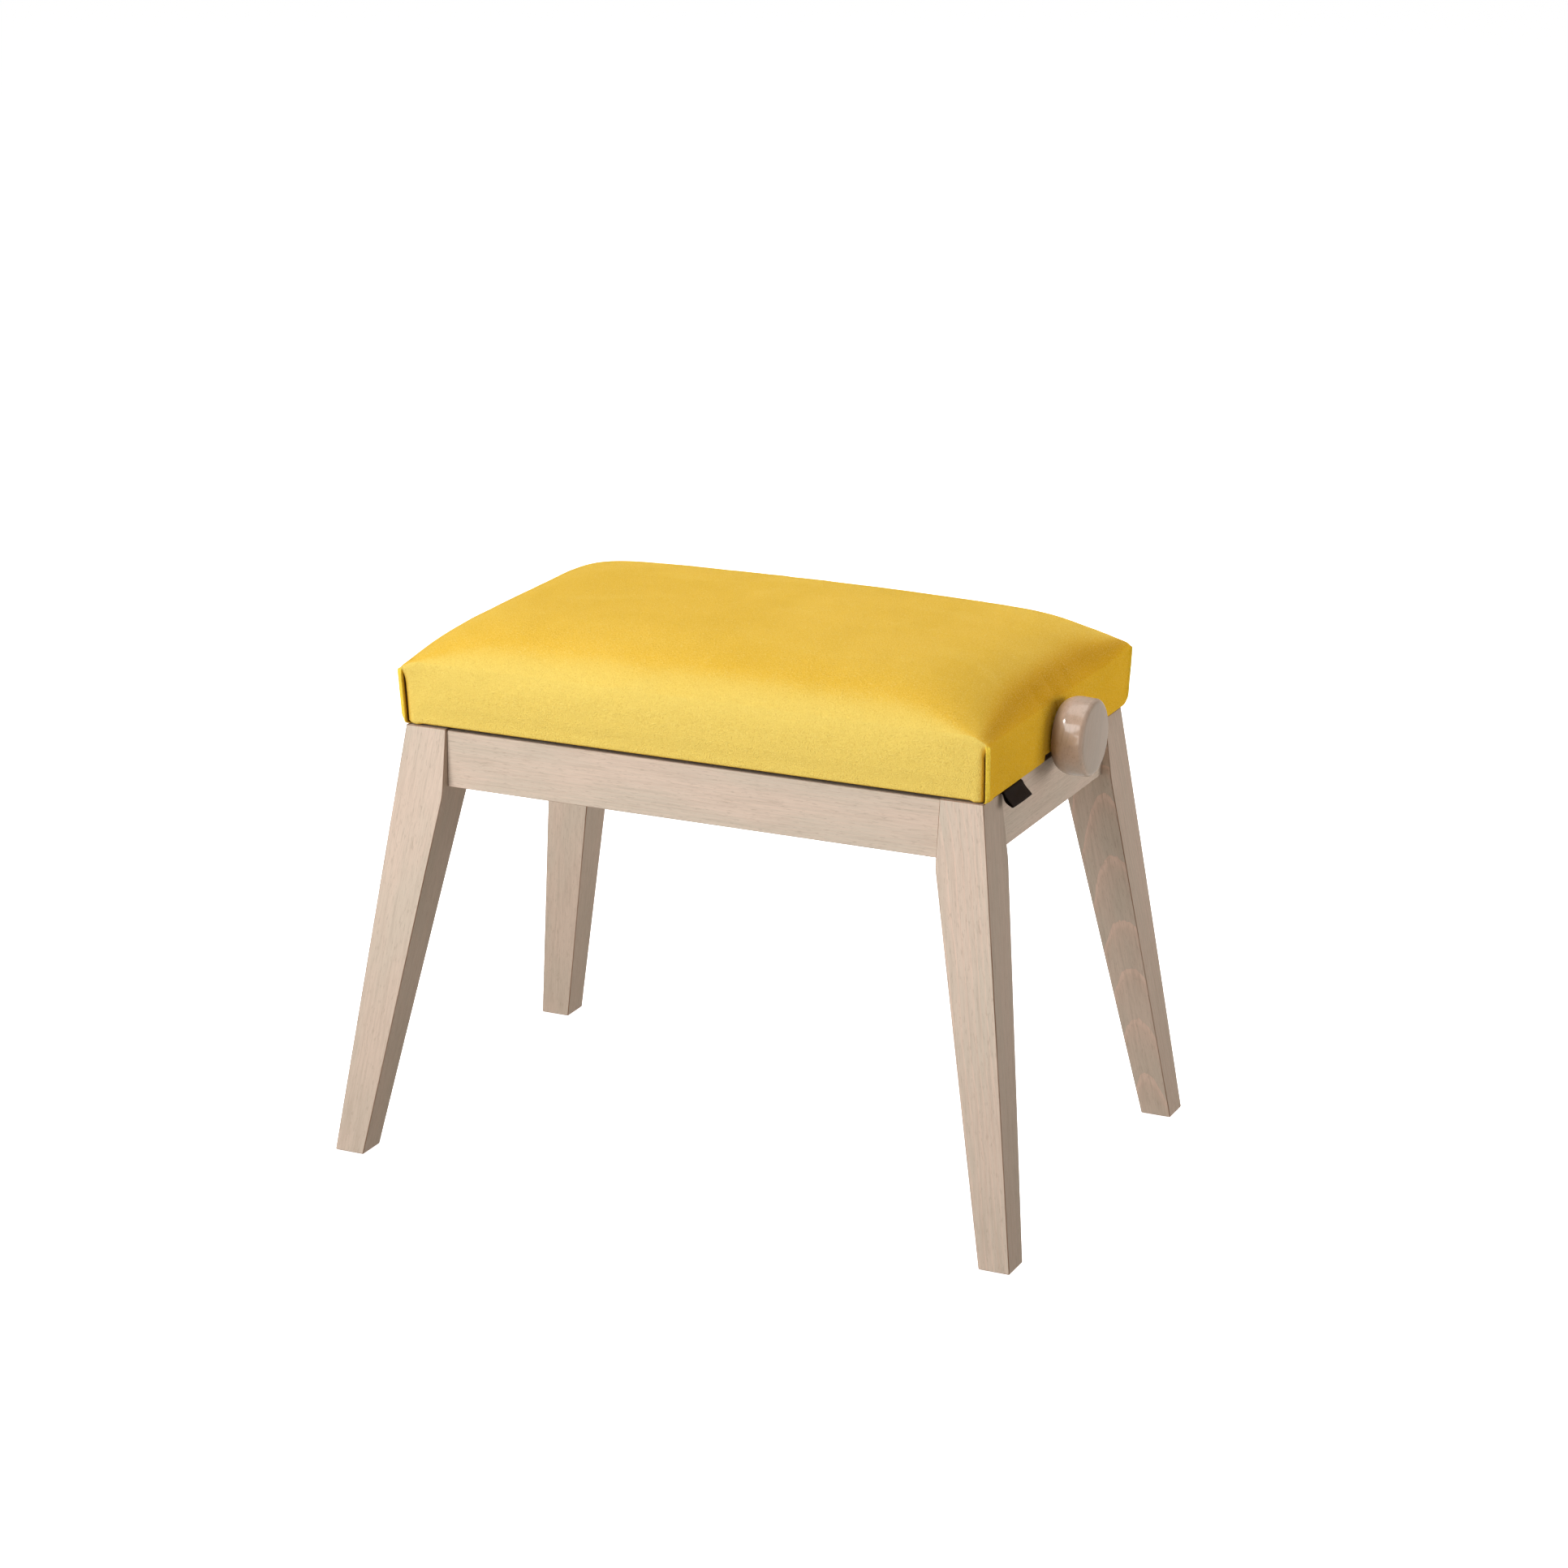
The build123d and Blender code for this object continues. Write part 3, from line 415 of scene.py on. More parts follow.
def powder_coat(name):
    """Satin black powder coat with its fine orange peel."""
    coat = Surface(name, roughness=0.42)
    peel = coat.noise(coat.place(), 900)
    cloud = coat.noise(coat.place(), 18, detail=3)
    coat.set(Base_Color=coat.mix(cloud, srgb(30, 30, 31), srgb(46, 46, 47)))
    coat.set(Roughness=coat.between(cloud, 0.3, 0.7, 0.36, 0.5), Normal=coat.bump(peel, 0.00006))
    return coat.material


def felt(name):
    """Dense dark felt."""
    cloth = Surface(name, roughness=0.95)
    fibre = cloth.noise(cloth.place(), 1400, detail=3, roughness=0.7)
    cloth.set(Base_Color=cloth.mix(fibre, srgb(60, 54, 48), srgb(98, 90, 80)))
    cloth.set(Normal=cloth.bump(fibre, 0.0004), Sheen_Weight=0.3)
    return cloth.material


def moulded(name):
    """Black moulded plastic."""
    plastic = Surface(name, roughness=0.5)
    grainy = plastic.noise(plastic.place(), 700)
    plastic.set(Base_Color=plastic.mix(grainy, srgb(24, 24, 25), srgb(38, 38, 39)))
    plastic.set(Normal=plastic.bump(grainy, 0.00005))
    return plastic.material


def paint(node, material):
    """Gives a CAD node its material."""
    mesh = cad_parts[node].data
    mesh.materials.clear()
    mesh.materials.append(material)
    mesh.polygons.foreach_set("material_index", [0] * len(mesh.polygons))


# ------------------------------ wooden frame
FOOT_IN = (14 * MM, 15 * MM)  # how far a leg's middle line stands in from its foot's outer sides
LEG_TOP = (251 * MM, 142 * MM)  # where that line ends at the top, out from the bench's middle

ALONG_X = (1, 0, 0)
ALONG_Y = (0, 1, 0)


def leg_axis(node):
    """A leg's middle, and its own direction up from its foot."""
    low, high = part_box(node)
    side_x = 1 if high.x > 0 else -1
    side_y = 1 if high.y > 0 else -1
    outer = (max(abs(low.x), abs(high.x)), max(abs(low.y), abs(high.y)))
    foot = Vector((side_x * (outer[0] - FOOT_IN[0]), side_y * (outer[1] - FOOT_IN[1]), low.z))
    top = Vector((side_x * LEG_TOP[0], side_y * LEG_TOP[1], high.z))
    return (foot + top) / 2, (top - foot).normalized()


def wooden_frame():
    """Gives every wooden piece of the frame and the seat's box its own grain."""
    legs = {
        "leg_front_left": dict(flame=0.12, pith=(0.09, 0.02)),
        "leg_front_right": dict(flame=0.3, pith=(0.05, 0.07), tilt=0.04, gap=4 * MM),
        "leg_back_left": dict(flame=0.12, pith=(0.11, -0.03)),
        "leg_back_right": dict(
            flame=0.75, pith=(-0.004, 0.104), tilt=0.13, drift=-0.05, gap=5 * MM, sway=4 * MM
        ),
    }
    for node, look in legs.items():
        middle, along = leg_axis(node)
        # foot_shade and side_shade paint shade on the legs
        paint(node, washed_beech(f"{node}_wood", along, middle, foot_shade=0.25, side_shade=0.4, **look))
    boards = {
        "apron_front": dict(along=ALONG_X, middle=(0.2, 0.1, 0.3), flame=0.12, pith=(0.02, 0.09)),
        "apron_back": dict(along=ALONG_X, middle=(0.5, 0.3, 0.1), flame=0.2, pith=(0.02, 0.08)),
        "apron_left": dict(along=ALONG_Y, middle=(0.1, 0.6, 0.2), flame=0.2, pith=(0.01, 0.09)),
        "apron_right": dict(along=ALONG_Y, middle=(0.4, 0.2, 0.5), flame=0.12, pith=(0.03, 0.1)),
    }
    for node, look in boards.items():
        paint(node, washed_beech(f"{node}_wood", worn=0.4, **look))
    beech = (srgb(214, 176, 134), srgb(176, 132, 90))
    # painted shade: the skirts are near black so that the gap under the cover looks dark
    gap_shade_black = (srgb(46, 40, 36), srgb(26, 22, 20))
    for i, corner in enumerate(("front_left", "front_right", "back_left", "back_right")):
        block = sawn_wood(f"block_{corner}_wood", (1, 1, 0), (0.1 * i, 0.07, 0), *beech)
        paint(f"corner_block_{corner}", block)
        paint(f"foot_pad_{corner}", MATERIALS["felt"])
    paint("apron_dowels", sawn_wood("dowel_wood", ALONG_X, (0, 0, 0), *beech))
    for i, side in enumerate(("front", "back", "left", "right")):
        along = ALONG_X if side in ("front", "back") else ALONG_Y
        paint(f"seat_skirt_{side}", sawn_wood(f"skirt_{side}_wood", along, (0.13 * i, 0.05, 0), *gap_shade_black))
    paint("seat_board", plywood("board_plywood"))


MATERIALS = {
    "velvet": velvet("seat_velvet"),
    "ribbon": ribbon("tag_ribbon"),
    "knob": lacquered_beech("knob_wood"),
    "zinc": metal("zinc_plate", srgb(200, 200, 192), 0.34),
    "steel": metal("drawn_steel", srgb(184, 184, 182), 0.28, scratch=(40, 900, 900)),
    "brass": metal("turned_brass", srgb(214, 172, 98), 0.3, scratch=(900, 60, 60)),
    "black": powder_coat("powder_coat"),
    "nylon": moulded("black_nylon"),
    "felt": felt("pad_felt"),
}


# ------------------------------ seat cover
ROLL_X = 176.9 * MM  # how far the rounded edge runs in from each side
ROLL_Y = 160.0 * MM
ROLL_RISE = 37.2 * MM
EDGE_POWER = 6.5
DOME_RISE = SEAT_TOP - BAND_TOP - ROLL_RISE
FILL_AT = 8 * MM  # fuller foam in each corner: its place, width and rise
FILL_WIDE = 27 * MM
FILL_FRONT = 0.4 * MM
FILL_BACK = 5.5 * MM
ARCH = 5.5 * MM  # how much higher the front fold runs than its corners, and how soon
ARCH_START = 10 * MM
FOLD_CORNER = 2.4 * MM  # the fold's rounding at the corners, and half way along each side
FOLD_END = 15 * MM
FOLD_SIDE = 14 * MM
FOLD_SOFT_AT = (115 * MM, 130 * MM)  # how far from a corner it is fully soft, on the ends and the sides
CORNER = 1.7 * MM  # plan radius of a corner
HEM_ROLL = 2.6 * MM  # the hem: radius of its roll, its reach under the seat, thickness
HEM_IN = 20.0 * MM
HEM_THICK = 1.6 * MM
CORNER_SAG = 1.2 * MM  # how much lower a front corner hangs, and over what width
CORNER_WIDE = 15.0 * MM
PLEAT_AT = 3.1 * MM  # the corner pleat's slit, along the front or back from the corner
PLEAT_HALF = 0.55 * MM
PLEAT_DEEP = 5.5 * MM
TUCK = 5.0 * MM  # how far the fabric rounds back beside the slit, and over what width
TUCK_WIDE = 9.5 * MM
LIP_OUT = 0.5 * MM
SLIT_CLOSED = (11 * MM, 3 * MM)  # how far under the band's top slit and lip fade out, from and to
TUCK_CLOSED = (16 * MM, -1 * MM)  # the same for the tuck
SLIT_REACH = (3.4 * MM, 0.2 * MM)  # how far in from its lip a slit is painted dark as painted shade: front right corner, others
LIP_WIDE = 2.4 * MM
BEAD = 1.9 * MM  # the folded edge of an end panel: how far it stands out, and its width
BEAD_WIDE = 2.8 * MM
BEAD_CURL = (9 * MM, 2.2 * MM)  # from what height down it curls in, and how far
MOUTH = (35.5 * MM, 37.5 * MM)  # the shallow mouth under the knob, from level to lower edge
MOUTH_RISE = 5.4 * MM
SLOT = 9.0 * MM  # the spindle's slot


def lines(half, fine, fine_width, coarse, extra=()):
    """Places from -half to half, close together near both ends and wider apart in the middle."""
    places, step, gone = [], fine, 0.0
    while gone < half - coarse / 2:
        places.append(half - gone)
        gone += step
        if gone > fine_width:
            step = min(step * 1.22, coarse)
    side = sorted(set(np.round(places + list(extra), 7)))
    return np.array([-p for p in reversed(side)] + [0.0] + side)


def edge_shape(distance, reach):
    """Rise of the rounded edge, from 0 at the side to 1 at its reach."""
    return 1 - np.clip(1 - distance / reach, 0, 1) ** EDGE_POWER


def crown(x, y):
    """Height of the seat's top over a place in the plan, with fuller corners and an arched front fold."""
    from_x = np.clip(HALF_X - abs(x), 0, None)
    from_y = np.clip(HALF_Y - abs(y), 0, None)
    rise = edge_shape(from_x, ROLL_X) * edge_shape(from_y, ROLL_Y)
    dome = (1 - (x / HALF_X) ** 2) * (1 - (y / HALF_Y) ** 2)
    into_corner = np.hypot(from_x - FILL_AT, from_y - FILL_AT)
    fill = np.exp(-((into_corner / FILL_WIDE) ** 2)) * np.where(y > 0, FILL_BACK, FILL_FRONT)
    arch = ARCH * (1 - np.exp(-((from_x / ARCH_START) ** 2))) * (1 - edge_shape(from_y, ROLL_Y)) * (y < 0)
    return BAND_TOP + ROLL_RISE * rise + DOME_RISE * dome + fill + arch


def fold_reach(along, middle, far):
    """How wide the fold between top and side is rounded: tight by a corner and soft further along."""
    return FOLD_CORNER + (middle - FOLD_CORNER) * smoothstep(6 * MM, far, along)


def fold(x, y, below=None):
    """How the rounded fold moves points of the top, or points of the sides that lie below it."""
    from_x = np.clip(HALF_X - abs(x), 0, None)
    from_y = np.clip(HALF_Y - abs(y), 0, None)
    wide_x = fold_reach(from_y, FOLD_END, FOLD_SOFT_AT[0])
    wide_y = fold_reach(from_x, FOLD_SIDE, FOLD_SOFT_AT[1])
    moved = np.zeros(np.shape(x) + (3,))
    sides = ((0, x, from_x, wide_x, ROLL_X, HALF_X, from_y, ROLL_Y, LEAN_X),
             (1, y, from_y, wide_y, ROLL_Y, HALF_Y, from_x, ROLL_X, LEAN_Y))
    for axis, place, inward, wide, roll, half, other, other_roll, lean in sides:
        slope = EDGE_POWER * ROLL_RISE / roll * edge_shape(other, other_roll)
        slope = slope + 2 * DOME_RISE / half * (1 - (1 - other / (HALF_X + HALF_Y - half)) ** 2)
        size = np.sqrt(1 + slope**2)
        near = np.clip(1 - inward / (3 * wide), 0, 1) ** 3
        if below is not None:
            near = near * np.clip(1 - below / (3 * wide), 0, 1) ** 3
        pull = wide / 2 * near
        moved[..., axis] -= np.sign(place) * pull * (1 / size + lean / (BAND_TOP - SEAT_LOW))
        moved[..., 2] += pull * (slope / size - 1)
    return moved


def rounded_plan(x, y, half_x, half_y, radius):
    """Moves the corners of a rectangular grid onto rounded corners."""
    a = np.clip((abs(x) - (half_x - radius)) / radius, 0, 1)
    b = np.clip((abs(y) - (half_y - radius)) / radius, 0, 1)
    in_x = a * radius * (1 - np.sqrt(1 - b * b / 2))
    in_y = b * radius * (1 - np.sqrt(1 - a * a / 2))
    return x - np.sign(x) * in_x, y - np.sign(y) * in_y


def cover_rows(step):
    """The cover's way down, round its hem and back out on top of it, as (height over SEAT_LOW, inset)."""
    rows = []
    tall = BAND_TOP - SEAT_LOW
    count = int(round((tall - HEM_ROLL) / step))
    for i in range(1, count + 1):
        rows.append((tall - (tall - HEM_ROLL) * i / count, 0.0))
    for i in range(1, 7):
        angle = radians(15 * i)
        rows.append((HEM_ROLL * (1 - sin(angle)), HEM_ROLL * (1 - cos(angle))))
    for share in (0.15, 0.4, 0.7, 0.96):
        rows.append((0.0, HEM_ROLL + (HEM_IN - HEM_ROLL) * share))
    rows += [(0.2 * HEM_THICK, HEM_IN), (0.8 * HEM_THICK, HEM_IN)]
    for share in (0.96, 0.6, 0.3):
        rows.append((HEM_THICK, HEM_ROLL + (HEM_IN - HEM_ROLL) * share))
    return rows


def slot_rise(x, y):
    """How much the lower edge is raised, on the right side only, for the mouth and the spindle's slot."""
    on_right = x > HALF_X - 1 * MM
    across = abs(y)
    rise = MOUTH_RISE * (1 - smoothstep(MOUTH[0], MOUTH[1], across))
    slot_top = KNOB_Z - SEAT_LOW + np.sqrt(np.clip(SLOT**2 - across**2, 0, None))
    rise = np.where(across <= SLOT, slot_top, rise)
    return np.where(on_right, rise, 0.0)


def pleat(x, height):
    """How far the cover stands out of its plain form at a corner pleat, on the front and back faces."""
    from_end = HALF_X - abs(x)
    tall = BAND_TOP - SEAT_LOW
    open_up = 1 - smoothstep(tall - SLIT_CLOSED[0], tall - SLIT_CLOSED[1], height)
    soft_up = 1 - smoothstep(tall - TUCK_CLOSED[0], tall - TUCK_CLOSED[1], height)
    slit = -PLEAT_DEEP * np.exp(-(((from_end - PLEAT_AT) / PLEAT_HALF) ** 4)) * open_up
    into = np.clip((from_end - PLEAT_AT) / TUCK_WIDE, 0, 1)
    tuck = np.where(from_end > PLEAT_AT, -TUCK * (1 - into) ** 2.2, 0.0) * soft_up
    lip = np.where(from_end <= PLEAT_AT, LIP_OUT, 0.0) * open_up
    return np.minimum(slit, tuck) + lip


def side_bead(y, height):
    """The folded edge of the end panels: a soft bead beside each corner, which curls in at the bottom."""
    near = np.exp(-(((HALF_Y - abs(y)) / BEAD_WIDE) ** 2))
    curled = (1 - np.clip(height / BEAD_CURL[0], 0, 1)) ** 2
    return near * (BEAD * (1 - curled) - BEAD_CURL[1] * curled)


def painted_fold_shade(x, y):
    """Painted shade above an end's fold: a narrow line by the corners, wider in the middle."""
    from_x = HALF_X - abs(x)
    from_y = HALF_Y - abs(y)
    middle = smoothstep(0, 120 * MM, from_y)
    away = (from_x - (5 + 7 * middle) * MM) / ((5 + 6 * middle) * MM)
    return np.exp(-(away**2)) * smoothstep(-1 * MM, 8 * MM, from_y)


def cover_grid(x_lines, y_lines, row_step, detailed):
    """The cover as points and faces, from the crown down its sides to the hem, and its points' marks."""
    nx, ny = len(x_lines), len(y_lines)
    gx, gy = np.meshgrid(x_lines, y_lines, indexing="ij")
    px, py = rounded_plan(gx, gy, HALF_X, HALF_Y, CORNER)
    top = np.stack([px, py, crown(gx, gy)], axis=-1) + fold(gx, gy)
    points = [top.reshape(-1, 3)]
    marks = {mark: [np.zeros(nx * ny)] for mark in MARKS}
    marks[SHADE_ABOVE_FOLD] = [painted_fold_shade(gx, gy).ravel()]
    faces = []
    for i in range(nx - 1):
        for j in range(ny - 1):
            a = i * ny + j
            faces.append((a, a + ny, a + ny + 1, a + 1))
    edge = [(i, 0) for i in range(nx - 1)] + [(nx - 1, j) for j in range(ny - 1)]
    edge += [(i, ny - 1) for i in range(nx - 1, 0, -1)] + [(0, j) for j in range(ny - 1, 0, -1)]
    ex = np.array([x_lines[i] for i, j in edge])
    ey = np.array([y_lines[j] for i, j in edge])
    ring = [i * ny + j for i, j in edge]
    on_end = abs(ex) >= HALF_X - 1e-6
    by_corner = (HALF_X - abs(ex)) + (HALF_Y - abs(ey))
    tall = BAND_TOP - SEAT_LOW
    rows = cover_rows(row_step)
    stretch = (crown(ex, ey) - SEAT_LOW) / tall
    for height, inset in rows:
        share = height / tall
        half_x = HALF_X - LEAN_X * (1 - share) - inset
        half_y = HALF_Y - LEAN_Y * (1 - share) - inset
        radius = max(CORNER + 0.8 * MM * (1 - share) - inset, 0.5 * MM)
        x, y = rounded_plan(ex * half_x / HALF_X, ey * half_y / HALF_Y, half_x, half_y, radius)
        lift = slot_rise(ex, ey) * (1 - share)
        inside = np.zeros(len(edge))
        lip = np.zeros(len(edge))
        if detailed:
            fade = float(1 - smoothstep(0, 6 * MM, inset))
            out_y = np.where(on_end, 0.0, pleat(ex, height)) * fade
            from_end = HALF_X - abs(ex)
            past_slit = from_end - PLEAT_AT
            in_slit = (past_slit > -2 * PLEAT_HALF) & (past_slit < np.where((ex > 0) & (ey < 0), *SLIT_REACH))
            # painted shade in the pleat: full in the slit, weaker on the tuck beside it
            inside = np.where(in_slit, 1.0, 0.4) * np.clip(-out_y / TUCK, 0, 1)
            # the lip, which the velvet paints brighter as a painted highlight
            at_lip = (from_end < PLEAT_AT - PLEAT_HALF) & (HALF_Y - abs(ey) < LIP_WIDE) & (inset < 1 * MM)
            lip = at_lip.astype(float)
            out_x = np.where(on_end, side_bead(ey, height), 0.0) * fade
            y = y + np.sign(ey) * out_y
            x = x + np.sign(ex) * out_x
        at_corner = (1 - smoothstep(CORNER_WIDE - 4 * MM, CORNER_WIDE, by_corner)) * (ey < 0)
        sag = CORNER_SAG * at_corner * (1 - share) ** 8
        z = SEAT_LOW + height * stretch + lift - sag
        points.append(np.stack([x, y, z], axis=-1) + fold(ex, ey, tall - height))
        # painted shade: the hem turned under the seat is fully dark
        marks[PLEAT_AND_HEM_SHADE].append(np.maximum(inside, float(inset >= HEM_ROLL)))
        marks[SHADE_ABOVE_FOLD].append(np.zeros(len(edge)))
        marks[ON_SIDE].append(np.ones(len(edge)))
        marks[ON_LIP].append(lip)
        base = nx * ny + (len(points) - 2) * len(edge)
        here = list(range(base, base + len(edge)))
        for k in range(len(edge)):
            after = (k + 1) % len(edge)
            faces.append((ring[after], ring[k], here[k], here[after]))
        ring = here
    marks = {name: np.concatenate(values) for name, values in marks.items()}
    return points, faces, ring, (ex, ey), marks


def closed_cover(x_lines, y_lines, row_step):
    """The cover and its foam as one closed form: cover_grid, and an inside that fits over the wooden box."""
    points, faces, ring, (ex, ey), marks = cover_grid(x_lines, y_lines, row_step, detailed=True)
    for part in points:
        part[:, 0] += SEAT_SHIFT
    count = len(ex)
    x = ex * (wood_high.x + 0.1 * MM) / HALF_X
    y = ey * (wood_high.y + 0.1 * MM) / HALF_Y
    for z in (SEAT_LOW + HEM_THICK + slot_rise(ex, ey), np.full(count, FOAM_LOW)):
        start = sum(len(p) for p in points)
        points.append(np.stack([x, y, z], axis=-1))
        here = list(range(start, start + count))
        for k in range(count):
            after = (k + 1) % count
            faces.append((ring[after], ring[k], here[k], here[after]))
        ring = here
    faces.append(tuple(reversed(ring)))
    points = np.concatenate(points)
    marks = {name: np.pad(values, (0, len(points) - len(values))) for name, values in marks.items()}
    return points, faces, marks


SIM_CELL = 9 * MM
SIM_FRAMES = 16
SIM_NEAR = 6
SIM_CAP = 1.0 * MM  # the most that the simulation may move the cover


def settled_shift():
    """Where a coarse copy of the cover moves when its foam pushes it out from the held hem."""
    coarse_x = np.linspace(-HALF_X, HALF_X, int(2 * HALF_X / SIM_CELL) + 1)
    coarse_y = np.linspace(-HALF_Y, HALF_Y, int(2 * HALF_Y / SIM_CELL) + 1)
    parts, faces = cover_grid(coarse_x, coarse_y, SIM_CELL, detailed=False)[:2]
    start = np.concatenate(parts)
    cloth_piece = new_object("cover_cloth", start, faces)
    held = cloth_piece.vertex_groups.new(name="held")
    low = SEAT_LOW + 2 * HEM_ROLL
    held.add([i for i, p in enumerate(start) if p[2] < low], 1.0, "REPLACE")
    cloth = cloth_piece.modifiers.new("cloth", "CLOTH")
    settings = cloth.settings
    settings.quality = 6
    settings.mass = 0.3
    settings.tension_stiffness = 25
    settings.compression_stiffness = 25
    settings.shear_stiffness = 12
    settings.bending_stiffness = 2.0
    settings.use_pressure = True
    settings.uniform_pressure_force = 2.0
    settings.vertex_group_mass = "held"
    settings.effector_weights.gravity = 0
    cloth.point_cache.frame_start = 1
    cloth.point_cache.frame_end = SIM_FRAMES
    for step in range(1, SIM_FRAMES + 1):
        SCENE.frame_set(step)
    seen = cloth_piece.evaluated_get(bpy.context.evaluated_depsgraph_get()).to_mesh()
    end = np.array([v.co for v in seen.vertices], float)
    cloth_piece.to_mesh_clear()
    SCENE.frame_set(1)
    bpy.data.objects.remove(cloth_piece)
    shift = end - start
    length = np.linalg.norm(shift, axis=1)
    shift *= np.minimum(1, SIM_CAP / np.maximum(length, 1e-9))[:, None]
    return start, shift


def spread_shift(points, start, shift):
    """The coarse cover's movement at each of the fine cover's points."""
    tree = kdtree.KDTree(len(start))
    for i, p in enumerate(start):
        tree.insert(p, i)
    tree.balance()
    moved = np.zeros_like(points)
    for i, p in enumerate(points):
        total = 0.0
        for _, found, distance in tree.find_n(p, SIM_NEAR):
            weight = 1 / (distance + 2 * MM) ** 2
            moved[i] += weight * shift[found]
            total += weight
        moved[i] /= total
    return moved


def ridge(points, start, end, width, height):
    """How high a soft straight ridge stands at each point; start and end are points near the surface."""
    a, b = np.array(start), np.array(end)
    along = b - a
    t = np.clip(((points - a) @ along) / (along @ along), 0, 1)
    away = np.linalg.norm(points - (a + t[:, None] * along), axis=1)
    ends = np.sin(pi * np.clip(t, 0.02, 0.98)) ** 0.6
    return height * ends * np.exp(-((away / width) ** 2))


def outward(points):
    """The way that the seat's surface faces at each point, near enough to move it in or out."""
    x, y, z = points.T
    step = 0.5 * MM
    slope_x = (crown(x + step, y) - crown(x - step, y)) / (2 * step)
    slope_y = (crown(x, y + step) - crown(x, y - step)) / (2 * step)
    up = np.stack([-slope_x, -slope_y, np.ones_like(x)], axis=-1)
    on_x = HALF_X - abs(x) < HALF_Y - abs(y)
    side = np.stack([np.sign(x) * on_x, np.sign(y) * ~on_x, 0 * x], axis=-1)
    chosen = np.where((z > BAND_TOP + 0.2 * MM)[:, None], up, side)
    return chosen / np.linalg.norm(chosen, axis=1)[:, None]


CREASES = (  # in millimetres: from, to, width and height of each soft crease
    ((-118, -168, 424), (-30, -160, 462), 7, 0.5),
    ((-255, -168, 433), (-120, -168, 436), 5, 0.35),
    ((100, -168, 436), (250, -168, 434), 6, 0.35),
    ((-60, 40, 495), (160, -20, 489), 2.5, 0.25),
)
DENTS = ((-34, 14), (-6, 24), (22, 16))  # over the knob, in millimetres: place along Y and upper end
DENT_WIDE = 7 * MM
DENT_DEEP = 1.3 * MM
RIPPLE = 0.35 * MM
KNOB_CALM = 48 * MM  # over what width along Y the knob's place is kept from the simulation


def seat_cover():
    """The velvet cover, pushed out a little by its foam, with pleated corners and a few soft creases."""
    x_lines = lines(HALF_X, 0.36 * MM, 10.5 * MM, 5.5 * MM)
    slot_lines = (SLOT - 0.3 * MM, SLOT, SLOT + 0.3 * MM, SLOT + 0.8 * MM)
    y_lines = lines(HALF_Y, 0.45 * MM, 4.5 * MM, 5.5 * MM, extra=slot_lines + MOUTH)
    points, faces, marks = closed_cover(x_lines, y_lines, 2.4 * MM)
    x, y, z = points.T.copy()
    over_box = (abs(x) <= wood_high.x + 0.2 * MM) & (abs(y) <= wood_high.y + 0.2 * MM)
    free = (z > SEAT_LOW + 3 * HEM_ROLL) & ~(over_box & (z <= FOAM_LOW + 0.01 * MM))
    near_knob = np.exp(-((y / KNOB_CALM) ** 2)) * smoothstep(0, 30 * MM, x - HALF_X + 40 * MM)
    start, shift = settled_shift()
    moved = spread_shift(points[free], start, shift)
    ease = smoothstep(SEAT_LOW + 3 * HEM_ROLL, SEAT_LOW + 8 * HEM_ROLL, z[free])
    points[free] += moved * (ease * (1 - near_knob[free]))[:, None]
    way = outward(points)
    bumps = np.zeros(len(points))
    for start, end, width, height in CREASES:
        bumps += ridge(points, np.array(start) * MM, np.array(end) * MM, width * MM, height * MM)
    for at_y, rise in DENTS:
        low_end = (HALF_X - 2 * MM, at_y * MM, BAND_TOP - 4 * MM)
        high_end = (HALF_X - 16 * MM, 1.3 * at_y * MM, BAND_TOP + rise * MM)
        bumps += ridge(points, low_end, high_end, DENT_WIDE, -DENT_DEEP)
    wander = np.array([noise.noise(Vector(p) * 22) + 0.5 * noise.noise(Vector(p) * 55) for p in points])
    points += way * ((bumps + RIPPLE * wander) * free)[:, None]
    piece = new_object("seat_velvet_cover", points, faces)
    for name, values in marks.items():
        piece.data.attributes.new(name, "FLOAT", "POINT").data.foreach_set("value", values)
    piece.data.materials.append(MATERIALS["velvet"])
    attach(piece, "seat")
    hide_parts("seat_cover", "seat_foam", "edge_wadding")


